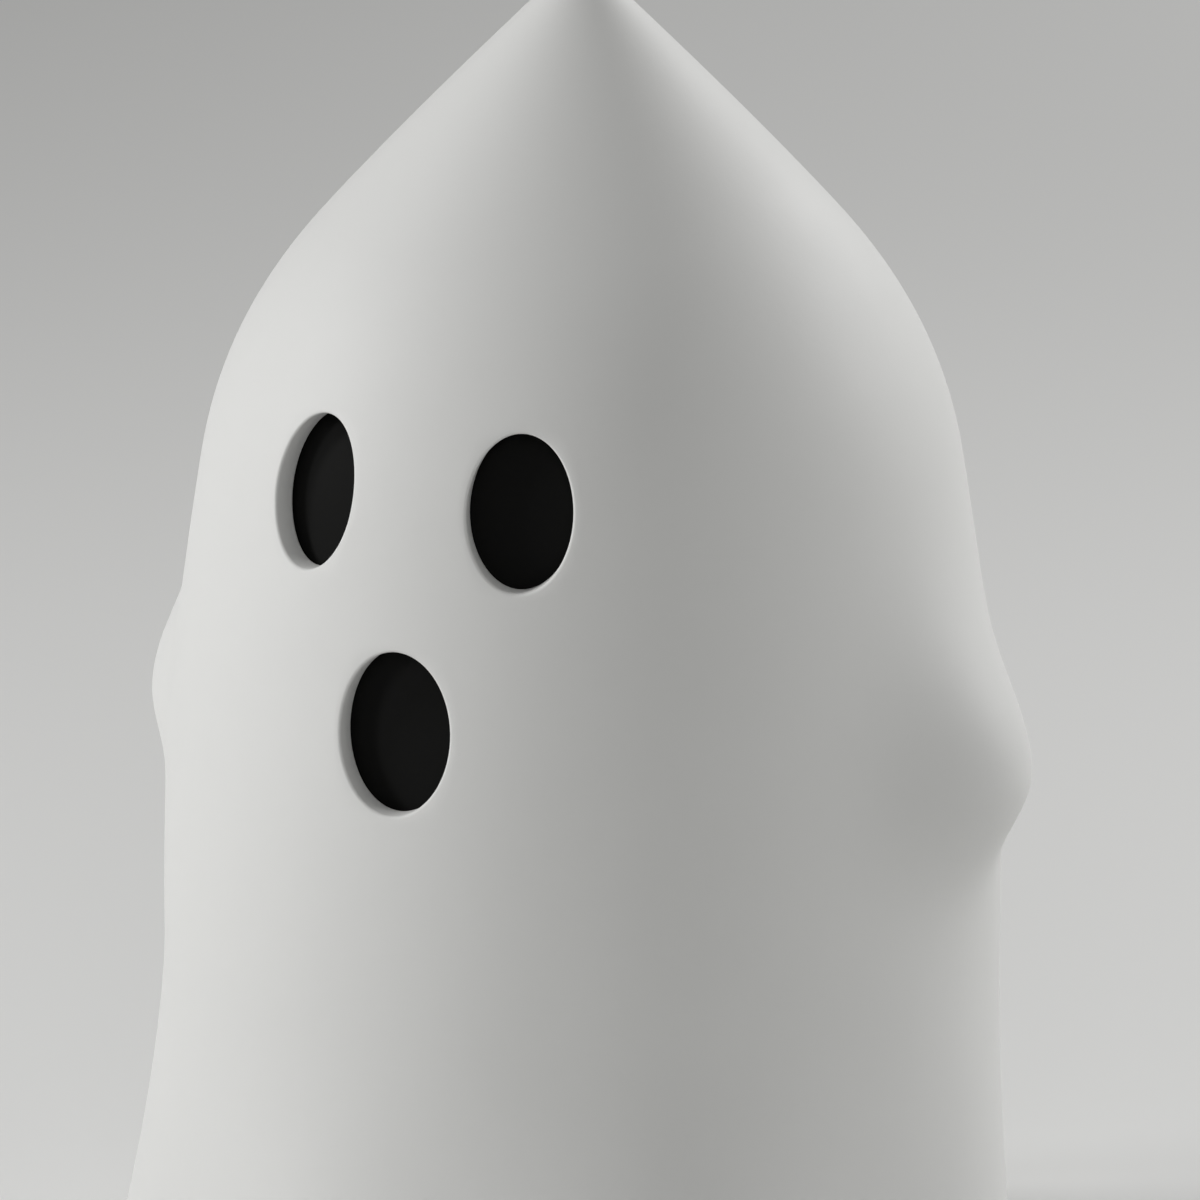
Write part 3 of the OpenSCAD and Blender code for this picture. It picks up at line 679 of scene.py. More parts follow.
def cubic(
    t: float, length: float, start: float, start_slope: float, end: float, end_slope: float
) -> float:
    """Runs a cubic between two values with given slopes.

    Args:
        t: Share of the length, from 0 to 1.
        length: Length that the cubic spans.
        start: Value at the start.
        start_slope: Slope at the start.
        end: Value at the end.
        end_slope: Slope at the end.

    Returns:
        The value at that share.
    """
    rise = 3 * t * t - 2 * t * t * t
    lead = t * t * t - 2 * t * t + t
    trail = t * t * t - t * t
    return start * (1 - rise) + end * rise + length * (start_slope * lead + end_slope * trail)


@dataclass(frozen=True)
class DrapedForm:
    """Outer surface of the draped shell. Heights named up are measured from its rim."""

    rim_z: float
    wall: float = 0.003
    waist_r: float = 0.055
    skirt_h: float = 0.056
    chest_h: float = 0.064
    shoulder_h: float = 0.031
    crown_h: float = 0.033
    brow_r: float = 0.049
    crown_r: float = 0.0332
    tip_round: float = 0.004
    brow_lean: float = 0.175
    crown_lean: float = 0.92
    apex_lean: float = 1.05
    flare: float = 0.0069
    flare_power: float = 1.58
    fold_count: int = 7
    fold_depth: float = 0.00175
    lobe_count: int = 3
    lobe_depth: float = 0.0024
    fold_power: float = 1.3
    fold_turn: float = math.radians(40)
    arm_out: float = 0.0082
    arm_up: float = 0.0838
    arm_turn: float = math.radians(89)
    arm_w: float = 0.030
    arm_upper_h: float = 0.0165
    arm_lower_h: float = 0.0115
    arm_round_power: float = 2.2
    arm_flank_power: float = 2.0
    slope_step: float = 0.0005

    @property
    def brow_up(self) -> float:
        """Height of the brow."""
        return self.skirt_h + self.chest_h

    @property
    def crown_up(self) -> float:
        """Height of the crown's foot."""
        return self.brow_up + self.shoulder_h

    @property
    def tip_half_angle(self) -> float:
        """Angle between the axis and the crown's side at the tip."""
        return math.atan(self.apex_lean)

    @property
    def tip_centre(self) -> float:
        """Height of the middle of the rounded tip."""
        return self.crown_up + self.crown_h - self.tip_round / math.sin(self.tip_half_angle)

    @property
    def tip_start(self) -> float:
        """Height at which the rounded tip begins."""
        return self.tip_centre + self.tip_round * math.sin(self.tip_half_angle)

    def body_radius(self, up: float) -> float:
        """Radius of the plain round body below the tip.

        Args:
            up: Height above the rim.

        Returns:
            The waist's radius, or that of the cubic of the chest, shoulder or crown.
        """
        if up < self.skirt_h:
            return self.waist_r
        if up < self.brow_up:
            share = (up - self.skirt_h) / self.chest_h
            return cubic(share, self.chest_h, self.waist_r, 0.0, self.brow_r, -self.brow_lean)
        if up < self.crown_up:
            share = (up - self.brow_up) / self.shoulder_h
            return cubic(share, self.shoulder_h, self.brow_r, -self.brow_lean,
                         self.crown_r, -self.crown_lean)
        share = (up - self.crown_up) / self.crown_h
        return cubic(share, self.crown_h, self.crown_r, -self.crown_lean, 0.0, -self.apex_lean)

    def skirt_out(self, azimuth: float, up: float) -> float:
        """How far the flare, folds and lobes of the skirt stand out.

        Args:
            azimuth: Direction from the axis.
            up: Height above the rim.

        Returns:
            What they add to the body's radius.
        """
        share = max(0.0, 1.0 - up / self.skirt_h)
        turn = azimuth - self.fold_turn
        waves = self.fold_depth * math.cos(self.fold_count * turn)
        waves += self.lobe_depth * math.cos(self.lobe_count * turn)
        return self.flare * share ** self.flare_power + share ** self.fold_power * waves

    def arm_bump(self, azimuth: float, up: float) -> float:
        """How far the nearer arm stands out, one arm on each side.

        Args:
            azimuth: Direction from the axis.
            up: Height above the rim.

        Returns:
            What it adds to the body's radius.
        """
        off_side = abs(self.arm_turn - abs(math.remainder(azimuth, FULL_TURN)))
        turn = off_side * self.waist_r / (self.arm_w / 2)
        flank_h = self.arm_upper_h if up > self.arm_up else self.arm_lower_h
        rise = abs(up - self.arm_up) / flank_h
        fall = turn ** self.arm_round_power + rise ** self.arm_flank_power
        return self.arm_out * math.exp(-fall)

    def radius(self, azimuth: float, up: float) -> float:
        """Outer radius below the tip."""
        return self.body_radius(up) + self.skirt_out(azimuth, up) + self.arm_bump(azimuth, up)

    def inset_radius(self, up: float, inset: float) -> float:
        """Radius of the plain body taken in by a thickness along its normal.

        Args:
            up: Height above the rim.
            inset: The thickness.

        Returns:
            The smaller radius at that height.
        """
        step = self.slope_step
        slope = (self.body_radius(up + step) - self.body_radius(up - step)) / (2 * step)
        return self.body_radius(up) - inset * math.hypot(1.0, slope)

    def point(self, azimuth: float, up: float) -> Vector:
        """Point of the outer surface below the tip."""
        r = self.radius(azimuth, up)
        return Vector((r * math.sin(azimuth), -r * math.cos(azimuth), self.rim_z + up))


@dataclass(frozen=True)
class Opening:
    """An oval cut straight through the wall towards the axis, at a height up from the rim."""

    name: str
    rim_z: float
    azimuth: float
    up: float
    width: float
    height: float

    @property
    def across(self) -> Vector:
        """Level direction across the opening."""
        return Vector((math.cos(self.azimuth), math.sin(self.azimuth), 0.0))

    @property
    def outward(self) -> Vector:
        """Level direction out of the opening."""
        return Vector((math.sin(self.azimuth), -math.cos(self.azimuth), 0.0))

    def covers(self, place: Vector, margin: float) -> bool:
        """Whether a place lies in front of the oval's box.

        Args:
            place: The place.
            margin: How much wider the box is on each side.

        Returns:
            True inside the box.
        """
        beside = abs(place.dot(self.across)) < self.width / 2 + margin
        level = abs(place.z - self.rim_z - self.up) < self.height / 2 + margin
        return beside and level and place.dot(self.outward) > 0.0

    def share(self, place: Vector, margin: float) -> float:
        """How far a place lies on the way from the oval to its box.

        Args:
            place: A place in front of the box, off the oval's middle.
            margin: How much wider the box is on each side.

        Returns:
            0 on the oval and 1 at the edge of the box.
        """
        beside = abs(place.dot(self.across)) / (self.width / 2)
        level = abs(place.z - self.rim_z - self.up) / (self.height / 2)
        oval = 1.0 / math.hypot(beside, level)
        box = min((1.0 + 2 * margin / self.width) / max(beside, MERGE),
                  (1.0 + 2 * margin / self.height) / max(level, MERGE))
        return min(1.0, max(0.0, (1.0 - oval) / (box - oval)))

    def at_radius(self, place: Vector, radius: float) -> Vector:
        """Slides a place along the cut, straight in or out.

        Args:
            place: The place.
            radius: Distance from the axis that it gets.

        Returns:
            The new place.
        """
        aside = place.dot(self.across)
        depth = math.sqrt(radius * radius - aside * aside)
        level = self.across * aside + self.outward * depth
        return Vector((level.x, level.y, place.z))


@dataclass(frozen=True)
class FaceLayout:
    """Sizes and places of the two eyes and the mouth. Heights named up start at the rim."""

    eye_turn: float = math.radians(17)
    eye_up: float = 0.1224
    eye_w: float = 0.013
    eye_h: float = 0.0187
    mouth_up: float = 0.0949
    mouth_w: float = 0.015
    mouth_h: float = 0.020

    def openings(self, rim_z: float) -> Sequence[Opening]:
        """Lays out the three openings.

        Args:
            rim_z: Height of the shell's rim.

        Returns:
            The left eye, the right eye and the mouth.
        """
        return (
            Opening("left_eye", rim_z, self.eye_turn, self.eye_up, self.eye_w, self.eye_h),
            Opening("right_eye", rim_z, -self.eye_turn, self.eye_up, self.eye_w, self.eye_h),
            Opening("mouth", rim_z, 0.0, self.mouth_up, self.mouth_w, self.mouth_h),
        )


@dataclass
class GhostShell:
    """The white draped moulding with its three openings."""

    form: DrapedForm
    openings: Sequence[Opening]
    azimuth_steps: int = 192
    ring_step: float = 0.0013
    first_ring: int = 2
    tip_rings: int = 7
    window_margin: float = 0.004
    skin_margin: float = 0.006
    edge_margin: float = 0.008
    patch_rings: int = 3
    opening_round: float = 0.0004
    rim_round: float = 0.0008
    round_steps: int = 3
    crease: float = 50.0

    def profile(self) -> Profile:
        """Half profile of the plain body.

        Returns:
            Radius and height of each point, from the rim up to the tip.
        """
        form = self.form
        rings = round(form.tip_start / self.ring_step)
        ups = [0.0] + [form.tip_start * i / rings for i in range(self.first_ring, rings)]
        side = [(form.body_radius(up), up) for up in ups]
        opening_angle = QUARTER_TURN - form.tip_half_angle
        angles = [opening_angle * i / self.tip_rings for i in range(self.tip_rings, -1, -1)]
        tip = [(form.tip_round * math.sin(angle),
                form.tip_centre + form.tip_round * math.cos(angle)) for angle in angles]
        return [(radius, form.rim_z + up) for radius, up in side + tip]

    def drape(self, place: Vector) -> Vector:
        """Moves a place of the plain body to the folds and arms of the draped form.

        Args:
            place: The place on the plain body.

        Returns:
            The place on the draped form, which has the same tip.
        """
        up = place.z - self.form.rim_z
        if up > self.form.tip_start:
            return place
        return self.form.point(math.atan2(place.x, -place.y), up)

    def on_skin(self, opening: Opening, place: Vector) -> Vector:
        """Slides a place beside an opening straight onto the outer skin.

        Args:
            opening: The opening.
            place: Any place on the shell.

        Returns:
            The place on the skin, or the same place where it isn't beside the opening.
        """
        if not opening.covers(place, self.skin_margin):
            return place
        return opening.at_radius(place, self.form.body_radius(place.z - self.form.rim_z))

    def on_window(self, opening: Opening, edge: bmesh.types.BMEdge) -> bool:
        """Whether an edge bounds the window round an opening."""
        middle = (edge.verts[0].co + edge.verts[1].co) / 2
        return edge.is_boundary and opening.covers(middle, self.edge_margin)

    def cut_opening(self, piece: Workpiece, opening: Opening) -> None:
        """Takes a window out of the skin and bridges it to the oval of an opening.

        Args:
            piece: The open skin.
            opening: The opening to cut.
        """
        with piece.edit():
            piece.pick(Pick.FACES, lambda face: opening.covers(
                face.calc_center_median(), self.window_margin))
            bpy.ops.mesh.delete(type="FACE")
            count = piece.pick(Pick.EDGES, lambda edge: self.on_window(opening, edge))
            middle = self.form.point(opening.azimuth, opening.up)
            bpy.ops.mesh.primitive_circle_add(
                vertices=count, radius=opening.width / 2, location=middle,
                rotation=(QUARTER_TURN, 0.0, opening.azimuth))
            bpy.ops.transform.resize(
                value=(1.0, 1.0, opening.height / opening.width), center_override=middle)
            piece.pick(Pick.EDGES, lambda edge: self.on_window(opening, edge) or edge.is_wire)
            bpy.ops.mesh.bridge_edge_loops(
                number_cuts=self.patch_rings, interpolation="LINEAR")
            piece.face_outwards()
        piece.press(lambda place: self.on_skin(opening, place))

    def thicken(self, piece: Workpiece) -> None:
        """Gives the skin its wall, with the openings cut straight and the rim level.

        Args:
            piece: The open skin with its openings.
        """
        form = self.form
        count = len(piece.obj.data.vertices)
        piece.apply("SOLIDIFY", thickness=form.wall, offset=-1.0, use_even_offset=True,
                    use_quality_normals=True)
        vertices = piece.obj.data.vertices
        for index in range(count):
            outer, inner = vertices[index].co, vertices[index + count]
            up = outer.z - form.rim_z
            if up < MERGE:
                inner.co.z = form.rim_z
            for opening in self.openings:
                if opening.covers(outer, self.window_margin):
                    straight = opening.at_radius(outer, form.inset_radius(up, form.wall))
                    share = opening.share(outer, self.window_margin)
                    inner.co = straight.lerp(inner.co, share)

    def sharp(self, edge: bmesh.types.BMEdge) -> bool:
        """Whether two faces meet at an edge more sharply than the crease."""
        return len(edge.link_faces) == 2 and edge.calc_face_angle() > math.radians(self.crease)

    def at_rim(self, edge: bmesh.types.BMEdge) -> bool:
        """Whether an edge lies at the level of the rim."""
        return max(vert.co.z for vert in edge.verts) < self.form.rim_z + MERGE

    def soften(self, piece: Workpiece) -> None:
        """Rounds the edges of the rim and then of the openings.

        Args:
            piece: The shell with its wall.
        """
        with piece.edit():
            for low, radius in ((True, self.rim_round), (False, self.opening_round)):
                piece.pick(Pick.EDGES, lambda edge: self.at_rim(edge) == low and self.sharp(edge))
                bpy.ops.mesh.bevel(offset=radius, segments=self.round_steps, affect="EDGES")

    def build(self) -> None:
        """Models and dresses the shell."""
        piece = Workpiece.turned("draped_shell", self.profile(), self.azimuth_steps)
        piece.press(self.drape)
        for opening in self.openings:
            self.cut_opening(piece, opening)
        self.thicken(piece)
        self.soften(piece)
        piece.close_seams()
        piece.smooth(self.crease)
        piece.dress(SHELL_WHITE)
        piece.fit(Body.SHELL, Slot.SHELL_WHITE, "ghost_shell")


@dataclass
class FacePlates:
    """The three black plates that follow the inside of the wall behind the openings."""

    form: DrapedForm
    openings: Sequence[Opening]
    thickness: float = 0.002
    lap: float = 0.0026
    gap: float = 0.0003
    edge_points: int = 96
    inset_rings: int = 6
    edge_round: float = 0.0003
    crease: float = 50.0

    def build_plate(self, opening: Opening) -> None:
        """Models and dresses the plate behind one opening.

        Args:
            opening: The opening that the plate closes.
        """
        form = self.form
        half_w = opening.width / 2 + self.lap
        half_h = opening.height / 2 + self.lap
        middle = (0.0, 0.0, form.rim_z + opening.up)
        piece = Workpiece.start(
            f"{opening.name}_plate", bpy.ops.mesh.primitive_circle_add,
            vertices=self.edge_points, radius=half_w, location=middle,
            rotation=(QUARTER_TURN, 0.0, opening.azimuth))
        with piece.edit(whole=True):
            bpy.ops.transform.resize(value=(1.0, 1.0, half_h / half_w), center_override=middle)
            for ring in range(self.inset_rings, 0, -1):
                shrink = ring / (ring + 1)
                bpy.ops.mesh.extrude_edges_move(TRANSFORM_OT_translate={"value": (0.0, 0.0, 0.0)})
                bpy.ops.transform.resize(value=(shrink, shrink, shrink), center_override=middle)
            bpy.ops.mesh.edge_face_add()
            bpy.ops.mesh.poke()
        piece.press(lambda place: opening.at_radius(
            place, form.inset_radius(place.z - form.rim_z, form.wall + self.gap)))
        piece.apply("SOLIDIFY", thickness=self.thickness, offset=-1.0, use_even_offset=True)
        with piece.edit():
            piece.face_outwards()
            piece.pick(Pick.EDGES,
                       lambda edge: edge.calc_face_angle() > math.radians(self.crease))
            bpy.ops.mesh.bevel(offset=self.edge_round, segments=EDGE_STEPS, affect="EDGES")
        piece.smooth(self.crease)
        piece.dress(FACE_BLACK)
        piece.fit(Body.SHELL, Slot.FACE_BLACK, f"{opening.name}_insert")

    def build(self) -> None:
        """Models and dresses all three plates."""
        for opening in self.openings:
            self.build_plate(opening)


@dataclass
class Moulding:
    """A moulded, punched or folded part that keeps its CAD form and gets its edges rounded."""

    node: str
    name: str
    body: Body
    slot: Slot
    finish: Finish
    edge: float
    edge_crease: float = 40.0
    crease: float = 60.0

    def build(self, frame: Frame) -> None:
        """Models and dresses the part.

        Args:
            frame: The loaded frame.
        """
        piece = Workpiece.from_node(self.name, frame["nodes"][self.node])
        piece.round_edges(self.edge, self.edge_crease)
        piece.smooth(self.crease)
        piece.apply("WEIGHTED_NORMAL", keep_sharp=True)
        piece.dress(self.finish)
        piece.fit(self.body, self.slot, self.node)


@dataclass
class BatteryDoor:
    """The hinged door under the cells, with grip ribs in its thumb recess."""

    edge: float = 0.00025
    recess_r: float = 0.007
    recess_depth: float = 0.0006
    recess_margin: float = 0.002
    rib_count: int = 3
    rib_pitch: float = 0.0025
    rib_size: Triple = (0.008, 0.0009, 0.0007)
    rib_edge: float = 0.000225
    rib_crease: float = 50.0

    def build_ribs(self) -> None:
        """Models one grip rib and copies it across the thumb recess."""
        low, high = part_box("battery_door")
        middle_y = high.y - self.recess_margin - self.recess_r
        middle = Vector((0.0, middle_y, low.z + self.recess_depth))
        rib = Workpiece.block("door_rib", self.rib_size, middle, self.rib_edge)
        rib.smooth(self.rib_crease)
        rib.dress(BASE_WHITE)
        for number in range(self.rib_count):
            shift = (number - (self.rib_count - 1) / 2) * self.rib_pitch
            copy = rib.copy(f"door_rib_{number + 1}", Matrix.Translation((0.0, shift, 0.0)))
            copy.fit(Body.DOOR, Slot.BASE_WHITE)
        rib.discard()

    def build(self, frame: Frame) -> None:
        """Models and dresses the door.

        Args:
            frame: The loaded frame.
        """
        Moulding("battery_door", "door_plate", Body.DOOR, Slot.BASE_WHITE, BASE_WHITE,
                 self.edge).build(frame)
        self.build_ribs()


@dataclass
class LightDome:
    """The frosted dome over the lamps, with the flange that the deck's clips hold."""

    wall: float = 0.0016
    flange_w: float = 0.0026
    flange_t: float = 0.0016
    straight: float = 0.018
    edge: float = 0.0003
    arc_steps: int = 24
    turn_steps: int = 96
    crease: float = 35.0

    def profile(self) -> Profile:
        """Outline of the dome's wall.

        Returns:
            Radius and height of each point, round the flange, up outside and down inside.
        """
        low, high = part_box("light_dome")
        rim = high.x
        outer = rim - self.flange_w
        inner = outer - self.wall
        foot = low.z
        top = foot + self.flange_t
        spring = foot + self.straight
        rise = high.z - foot - self.straight
        angles = quarter_arc(self.arc_steps)
        outside = [(outer * math.cos(angle), spring + rise * math.sin(angle)) for angle in angles]
        inside = [(inner * math.cos(angle), spring + (rise - self.wall) * math.sin(angle))
                  for angle in reversed(angles)]
        flange = [
            (inner, foot), (rim - self.edge, foot), (rim, foot + self.edge),
            (rim, top - self.edge), (rim - self.edge, top), (outer + self.edge, top),
            (outer, top + self.edge),
        ]
        return flange + outside + inside

    def build(self) -> None:
        """Models and dresses the dome."""
        piece = Workpiece.turned("frosted_dome", self.profile(), self.turn_steps, closed=True)
        piece.smooth(self.crease)
        piece.dress(DOME_FROSTED)
        piece.fit(Body.BASE, Slot.DOME_FROSTED, "light_dome")


@dataclass
class RubberFeet:
    """Four round feet pressed into the underside."""

    radius: float = 0.005
    edge: float = 0.0008
    dimple_r: float = 0.0016
    dimple_depth: float = 0.0003
    arc_steps: int = 5
    turn_steps: int = 48
    crease: float = 40.0

    def build(self) -> None:
        """Models one foot and copies it to the four seats."""
        _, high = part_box("rubber_feet")
        tread = self.radius - self.edge
        profile = [
            (0.0, self.dimple_depth), (self.dimple_r, self.dimple_depth),
            (self.dimple_r + self.dimple_depth, 0.0),
            *((tread + self.edge * math.sin(angle), self.edge * (1 - math.cos(angle)))
              for angle in quarter_arc(self.arc_steps)),
            (self.radius, high.z), (0.0, high.z),
        ]
        foot = Workpiece.turned("rubber_foot", profile, self.turn_steps)
        foot.smooth(self.crease)
        foot.dress(FOOT_RUBBER)
        aside, ahead = high.x - self.radius, high.y - self.radius
        turn = math.atan2(aside, ahead)
        turns = (turn, math.pi - turn, math.pi + turn, -turn)
        for copy in foot.ring(turns, math.hypot(aside, ahead)):
            copy.fit(Body.BASE, Slot.FOOT_RUBBER, "rubber_feet")


@dataclass(frozen=True)
class PanScrew:
    """A cross-recessed pan-head screw, modelled upright on the axis with its head at the top.

    The thread's start, flank and crest are shares of its pitch.
    """

    head_r: float = 0.0019
    head_h: float = 0.0013
    head_side: float = 0.0005
    shank_r: float = 0.001
    core_r: float = 0.0008
    pitch: float = 0.0007
    thread_start: float = 0.7
    thread_flank: float = 0.35
    thread_crest: float = 0.45
    edge: float = 0.0001
    recess_l: float = 0.0021
    recess_w: float = 0.0005
    recess_depth: float = 0.0007
    crown_steps: int = 6
    turn_steps: int = 32
    crease: float = 35.0

    def profile(self, tip: float, top: float) -> Profile:
        """Half profile of the screw.

        Args:
            tip: Height of the screw's tip.
            top: Height of the head's top.

        Returns:
            Radius and height of each point, from the tip along the thread to the head's top.
        """
        seat = top - self.head_h
        threads = int((seat - tip) / self.pitch) - 1
        profile = [(0.0, tip), (self.core_r / 2, tip), (self.core_r, tip + self.pitch / 2)]
        for index in range(threads):
            root = tip + self.pitch * (index + self.thread_start)
            profile += [(self.core_r, root),
                        (self.shank_r, root + self.pitch * self.thread_flank),
                        (self.shank_r, root + self.pitch * self.thread_crest)]
        profile += [(self.shank_r, seat), (self.head_r - self.edge, seat),
                    (self.head_r, seat + self.edge), (self.head_r, seat + self.head_side)]
        rise = self.head_h - self.head_side
        return profile + [(self.head_r * math.cos(angle), top - rise * (1 - math.sin(angle)))
                          for angle in quarter_arc(self.crown_steps)[1:]]

    def model(self, name: str, tip: float, top: float) -> Workpiece:
        """Models one screw.

        Args:
            name: Name of the piece.
            tip: Height of the screw's tip.
            top: Height of the head's top.

        Returns:
            The screw.
        """
        screw = Workpiece.turned(name, self.profile(tip, top), self.turn_steps)
        middle = Vector((0.0, 0.0, top))
        for size in ((self.recess_l, self.recess_w), (self.recess_w, self.recess_l)):
            screw.cut(Workpiece.block("recess", (*size, 2 * self.recess_depth), middle))
        screw.smooth(self.crease)
        screw.dress(SCREW_STEEL)
        return screw

    def fasten(self, node: str, turns: Sequence[float], out: float) -> None:
        """Models a screw to the height of a CAD node and copies it round the lantern.

        Args:
            node: CAD node that the screws replace.
            turns: Azimuths of the screws.
            out: Distance of the screws from the axis.
        """
        low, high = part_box(node)
        for copy in self.model(node[:-1], low.z, high.z).ring(turns, out):
            copy.fit(Body.BASE, Slot.SCREW_STEEL, node)


@dataclass
class LightBoard:
    """The round board under the dome with its lamps, chip resistors and screws."""

    screw_out: float = 0.0115
    lamp_out: float = 0.005
    lamp_r: float = 0.0025
    lamp_side: float = 0.005
    lamp_flange_w: float = 0.0004
    lamp_flange_t: float = 0.001
    lamp_arc_steps: int = 10
    lamp_turn_steps: int = 40
    lamp_crease: float = 35.0
    chip_out: float = 0.006
    chip_size: Triple = (0.002, 0.0012, 0.0006)
    chip_crease: float = 40.0
    cap_start: float = 0.00062
    edge: float = 0.00008
    first_lamp: float = math.radians(90)
    first_chip: float = math.radians(30)

    @staticmethod
    def thirds(first: float) -> Triple:
        """Three azimuths spaced evenly from a first one."""
        return first, first + FULL_TURN / 3, first + 2 * FULL_TURN / 3

    def build_lamps(self) -> None:
        """Models one lamp with its flange and round lens, and copies it."""
        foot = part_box("lamps")[0].z
        flange_r = self.lamp_r + self.lamp_flange_w
        flange_top = foot + self.lamp_flange_t
        side_top = foot + self.lamp_side
        profile = [
            (0.0, foot), (flange_r - self.edge, foot), (flange_r, foot + self.edge),
            (flange_r, flange_top - self.edge), (flange_r - self.edge, flange_top),
            (self.lamp_r, flange_top),
            *((self.lamp_r * math.cos(angle), side_top + self.lamp_r * math.sin(angle))
              for angle in quarter_arc(self.lamp_arc_steps)),
        ]
        lamp = Workpiece.turned("lamp", profile, self.lamp_turn_steps)
        lamp.smooth(self.lamp_crease)
        lamp.dress(LAMP_CLEAR)
        for copy in lamp.ring(self.thirds(self.first_lamp), self.lamp_out):
            copy.fit(Body.BASE, Slot.LAMP_CLEAR, "lamps")

    def build_chips(self) -> None:
        """Models one chip resistor with plated end caps, and copies it."""
        low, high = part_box("resistors")
        middle = Vector((0.0, 0.0, (low.z + high.z) / 2))
        chip = Workpiece.block("resistor", self.chip_size, middle, self.edge)
        with chip.edit():
            for cap in (-self.cap_start, self.cap_start):
                bpy.ops.mesh.select_all(action="SELECT")
                bpy.ops.mesh.bisect(plane_co=(cap, 0.0, 0.0), plane_no=(1.0, 0.0, 0.0))
        chip.smooth(self.chip_crease)
        chip.dress(CHIP_DARK)
        chip.accent(CONTACT_NICKEL,
                    lambda face: abs(face.calc_center_median().x) > self.cap_start)
        for copy in chip.ring(self.thirds(self.first_chip), self.chip_out):
            copy.fit(Body.BASE, Slot.CHIP_DARK, "resistors")

    def build(self, frame: Frame) -> None:
        """Models and dresses the board and all that is on it.

        Args:
            frame: The loaded frame.
        """
        Moulding("light_board", "lamp_board", Body.BASE, Slot.BOARD_GREEN, BOARD_GREEN,
                 self.edge).build(frame)
        self.build_lamps()
        self.build_chips()
        PanScrew().fasten("board_screws", self.thirds(self.first_chip), self.screw_out)


@dataclass
class BatteryPack:
    """Three cells in series, each with the way it faces, their contact sheets and springs."""

    cells: Sequence[tuple[str, int]] = (
        ("battery_cell_front", 1), ("battery_cell_middle", -1), ("battery_cell_rear", 1))
    end_r: float = 0.00495
    end_ring: float = 0.0008
    button_r: float = 0.0019
    button_l: float = 0.0012
    plate_r: float = 0.0042
    collar_r: float = 0.0026
    step: float = 0.00015
    band_start: float = 0.0365
    band_end: float = 0.0385
    turn_steps: int = 64
    crease: float = 35.0
    spring_l: float = 0.0046
    spring_wire: float = 0.0005
    spring_turns: int = 3
    spring_foot_r: float = 0.0038
    spring_tip_r: float = 0.002
    spring_steps: int = 28
    spring_end_slope: float = 0.35
    spring_crease: float = 50.0
    sheet_edge: float = 0.00008

    def bare(self, face: bmesh.types.BMFace) -> bool:
        """Whether a face of a cell is bare metal: its end plate, or its button.

        Args:
            face: A face of the upright cell.

        Returns:
            True where the sleeve leaves the metal bare.
        """
        place = face.calc_center_median()
        reach = math.hypot(place.x, place.y)
        return reach < self.plate_r if place.z < self.end_ring else reach < self.collar_r

    def model_cell(self, length: float, radius: float) -> Workpiece:
        """Models one cell upright on the axis, its button at the top.

        Args:
            length: Length of the cell with its button.
            radius: Radius of its sleeve.

        Returns:
            The cell.
        """
        step, bevel = self.step, 2 * self.step
        shoulder = length - self.button_l - self.end_ring
        ring_top = shoulder + self.end_ring
        profile = [
            (0.0, step), (self.plate_r - step, step), (self.plate_r, 0.0),
            (self.end_r - bevel, 0.0), (self.end_r, bevel), (self.end_r, self.end_ring),
            (radius, self.end_ring + step), (radius, self.band_start), (radius, self.band_end),
            (radius, shoulder - step), (self.end_r, shoulder), (self.end_r, ring_top - bevel),
            (self.end_r - bevel, ring_top), (self.collar_r, ring_top),
            (self.collar_r - step, ring_top - step), (self.button_r, ring_top - step),
            (self.button_r, length - bevel), (self.button_r - bevel, length), (0.0, length),
        ]
        cell = Workpiece.turned("cell", profile, self.turn_steps)
        cell.smooth(self.crease)
        cell.dress(CELL_WRAP)
        cell.accent(CONTACT_NICKEL, self.bare)
        cell.accent(CELL_BAND, lambda face: (
            self.band_start < face.calc_center_median().z < self.band_end))
        return cell

    def model_spring(self) -> Workpiece:
        """Models one spring upright on the axis, its wide foot at the bottom.

        Returns:
            The spring.
        """
        half_wire = self.spring_wire / 2
        rise = self.spring_l - self.spring_wire
        slope = self.spring_end_slope
        count = self.spring_turns * self.spring_steps
        route = []
        for index in range(count + 1):
            share = index / count
            angle = FULL_TURN * self.spring_turns * share
            radius = self.spring_foot_r + (self.spring_tip_r - self.spring_foot_r) * share
            height = half_wire + rise * cubic(share, 1.0, 0.0, slope, 1.0, slope)
            route.append(Vector((radius * math.cos(angle), radius * math.sin(angle), height)))
        spring = Workpiece.tube("spring", route, half_wire)
        spring.smooth(self.spring_crease)
        spring.dress(CONTACT_NICKEL)
        return spring

    def build(self, frame: Frame) -> None:
        """Models and dresses the cells, springs and contact sheets.

        Args:
            frame: The loaded frame.
        """
        low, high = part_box("battery_cell_front")
        cell = self.model_cell(high.x - low.x, (high.y - low.y) / 2)
        spring = self.model_spring()
        for node, way in self.cells:
            low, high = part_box(node)
            tail_x = low.x if way > 0 else high.x
            tail = Vector((tail_x, (low.y + high.y) / 2, (low.z + high.z) / 2))
            sheet = tail - Vector((way * self.spring_l, 0.0, 0.0))
            lay_down = Matrix.Rotation(way * QUARTER_TURN, 4, "Y")
            short_name = node.removeprefix("battery_")
            twin = cell.copy(f"{short_name}_wrapped", Matrix.Translation(tail) @ lay_down)
            twin.fit(Body.BASE, Slot.CELL_WRAP, node)
            coil = spring.copy(f"{short_name}_spring", Matrix.Translation(sheet) @ lay_down)
            coil.fit(Body.BASE, Slot.CONTACT_NICKEL, "contact_springs")
        cell.discard()
        spring.discard()
        for node, name in (("terminal_plates", "terminal_sheets"), ("link_plates", "link_sheets")):
            Moulding(node, name, Body.BASE, Slot.CONTACT_NICKEL, CONTACT_NICKEL,
                     self.sheet_edge).build(frame)


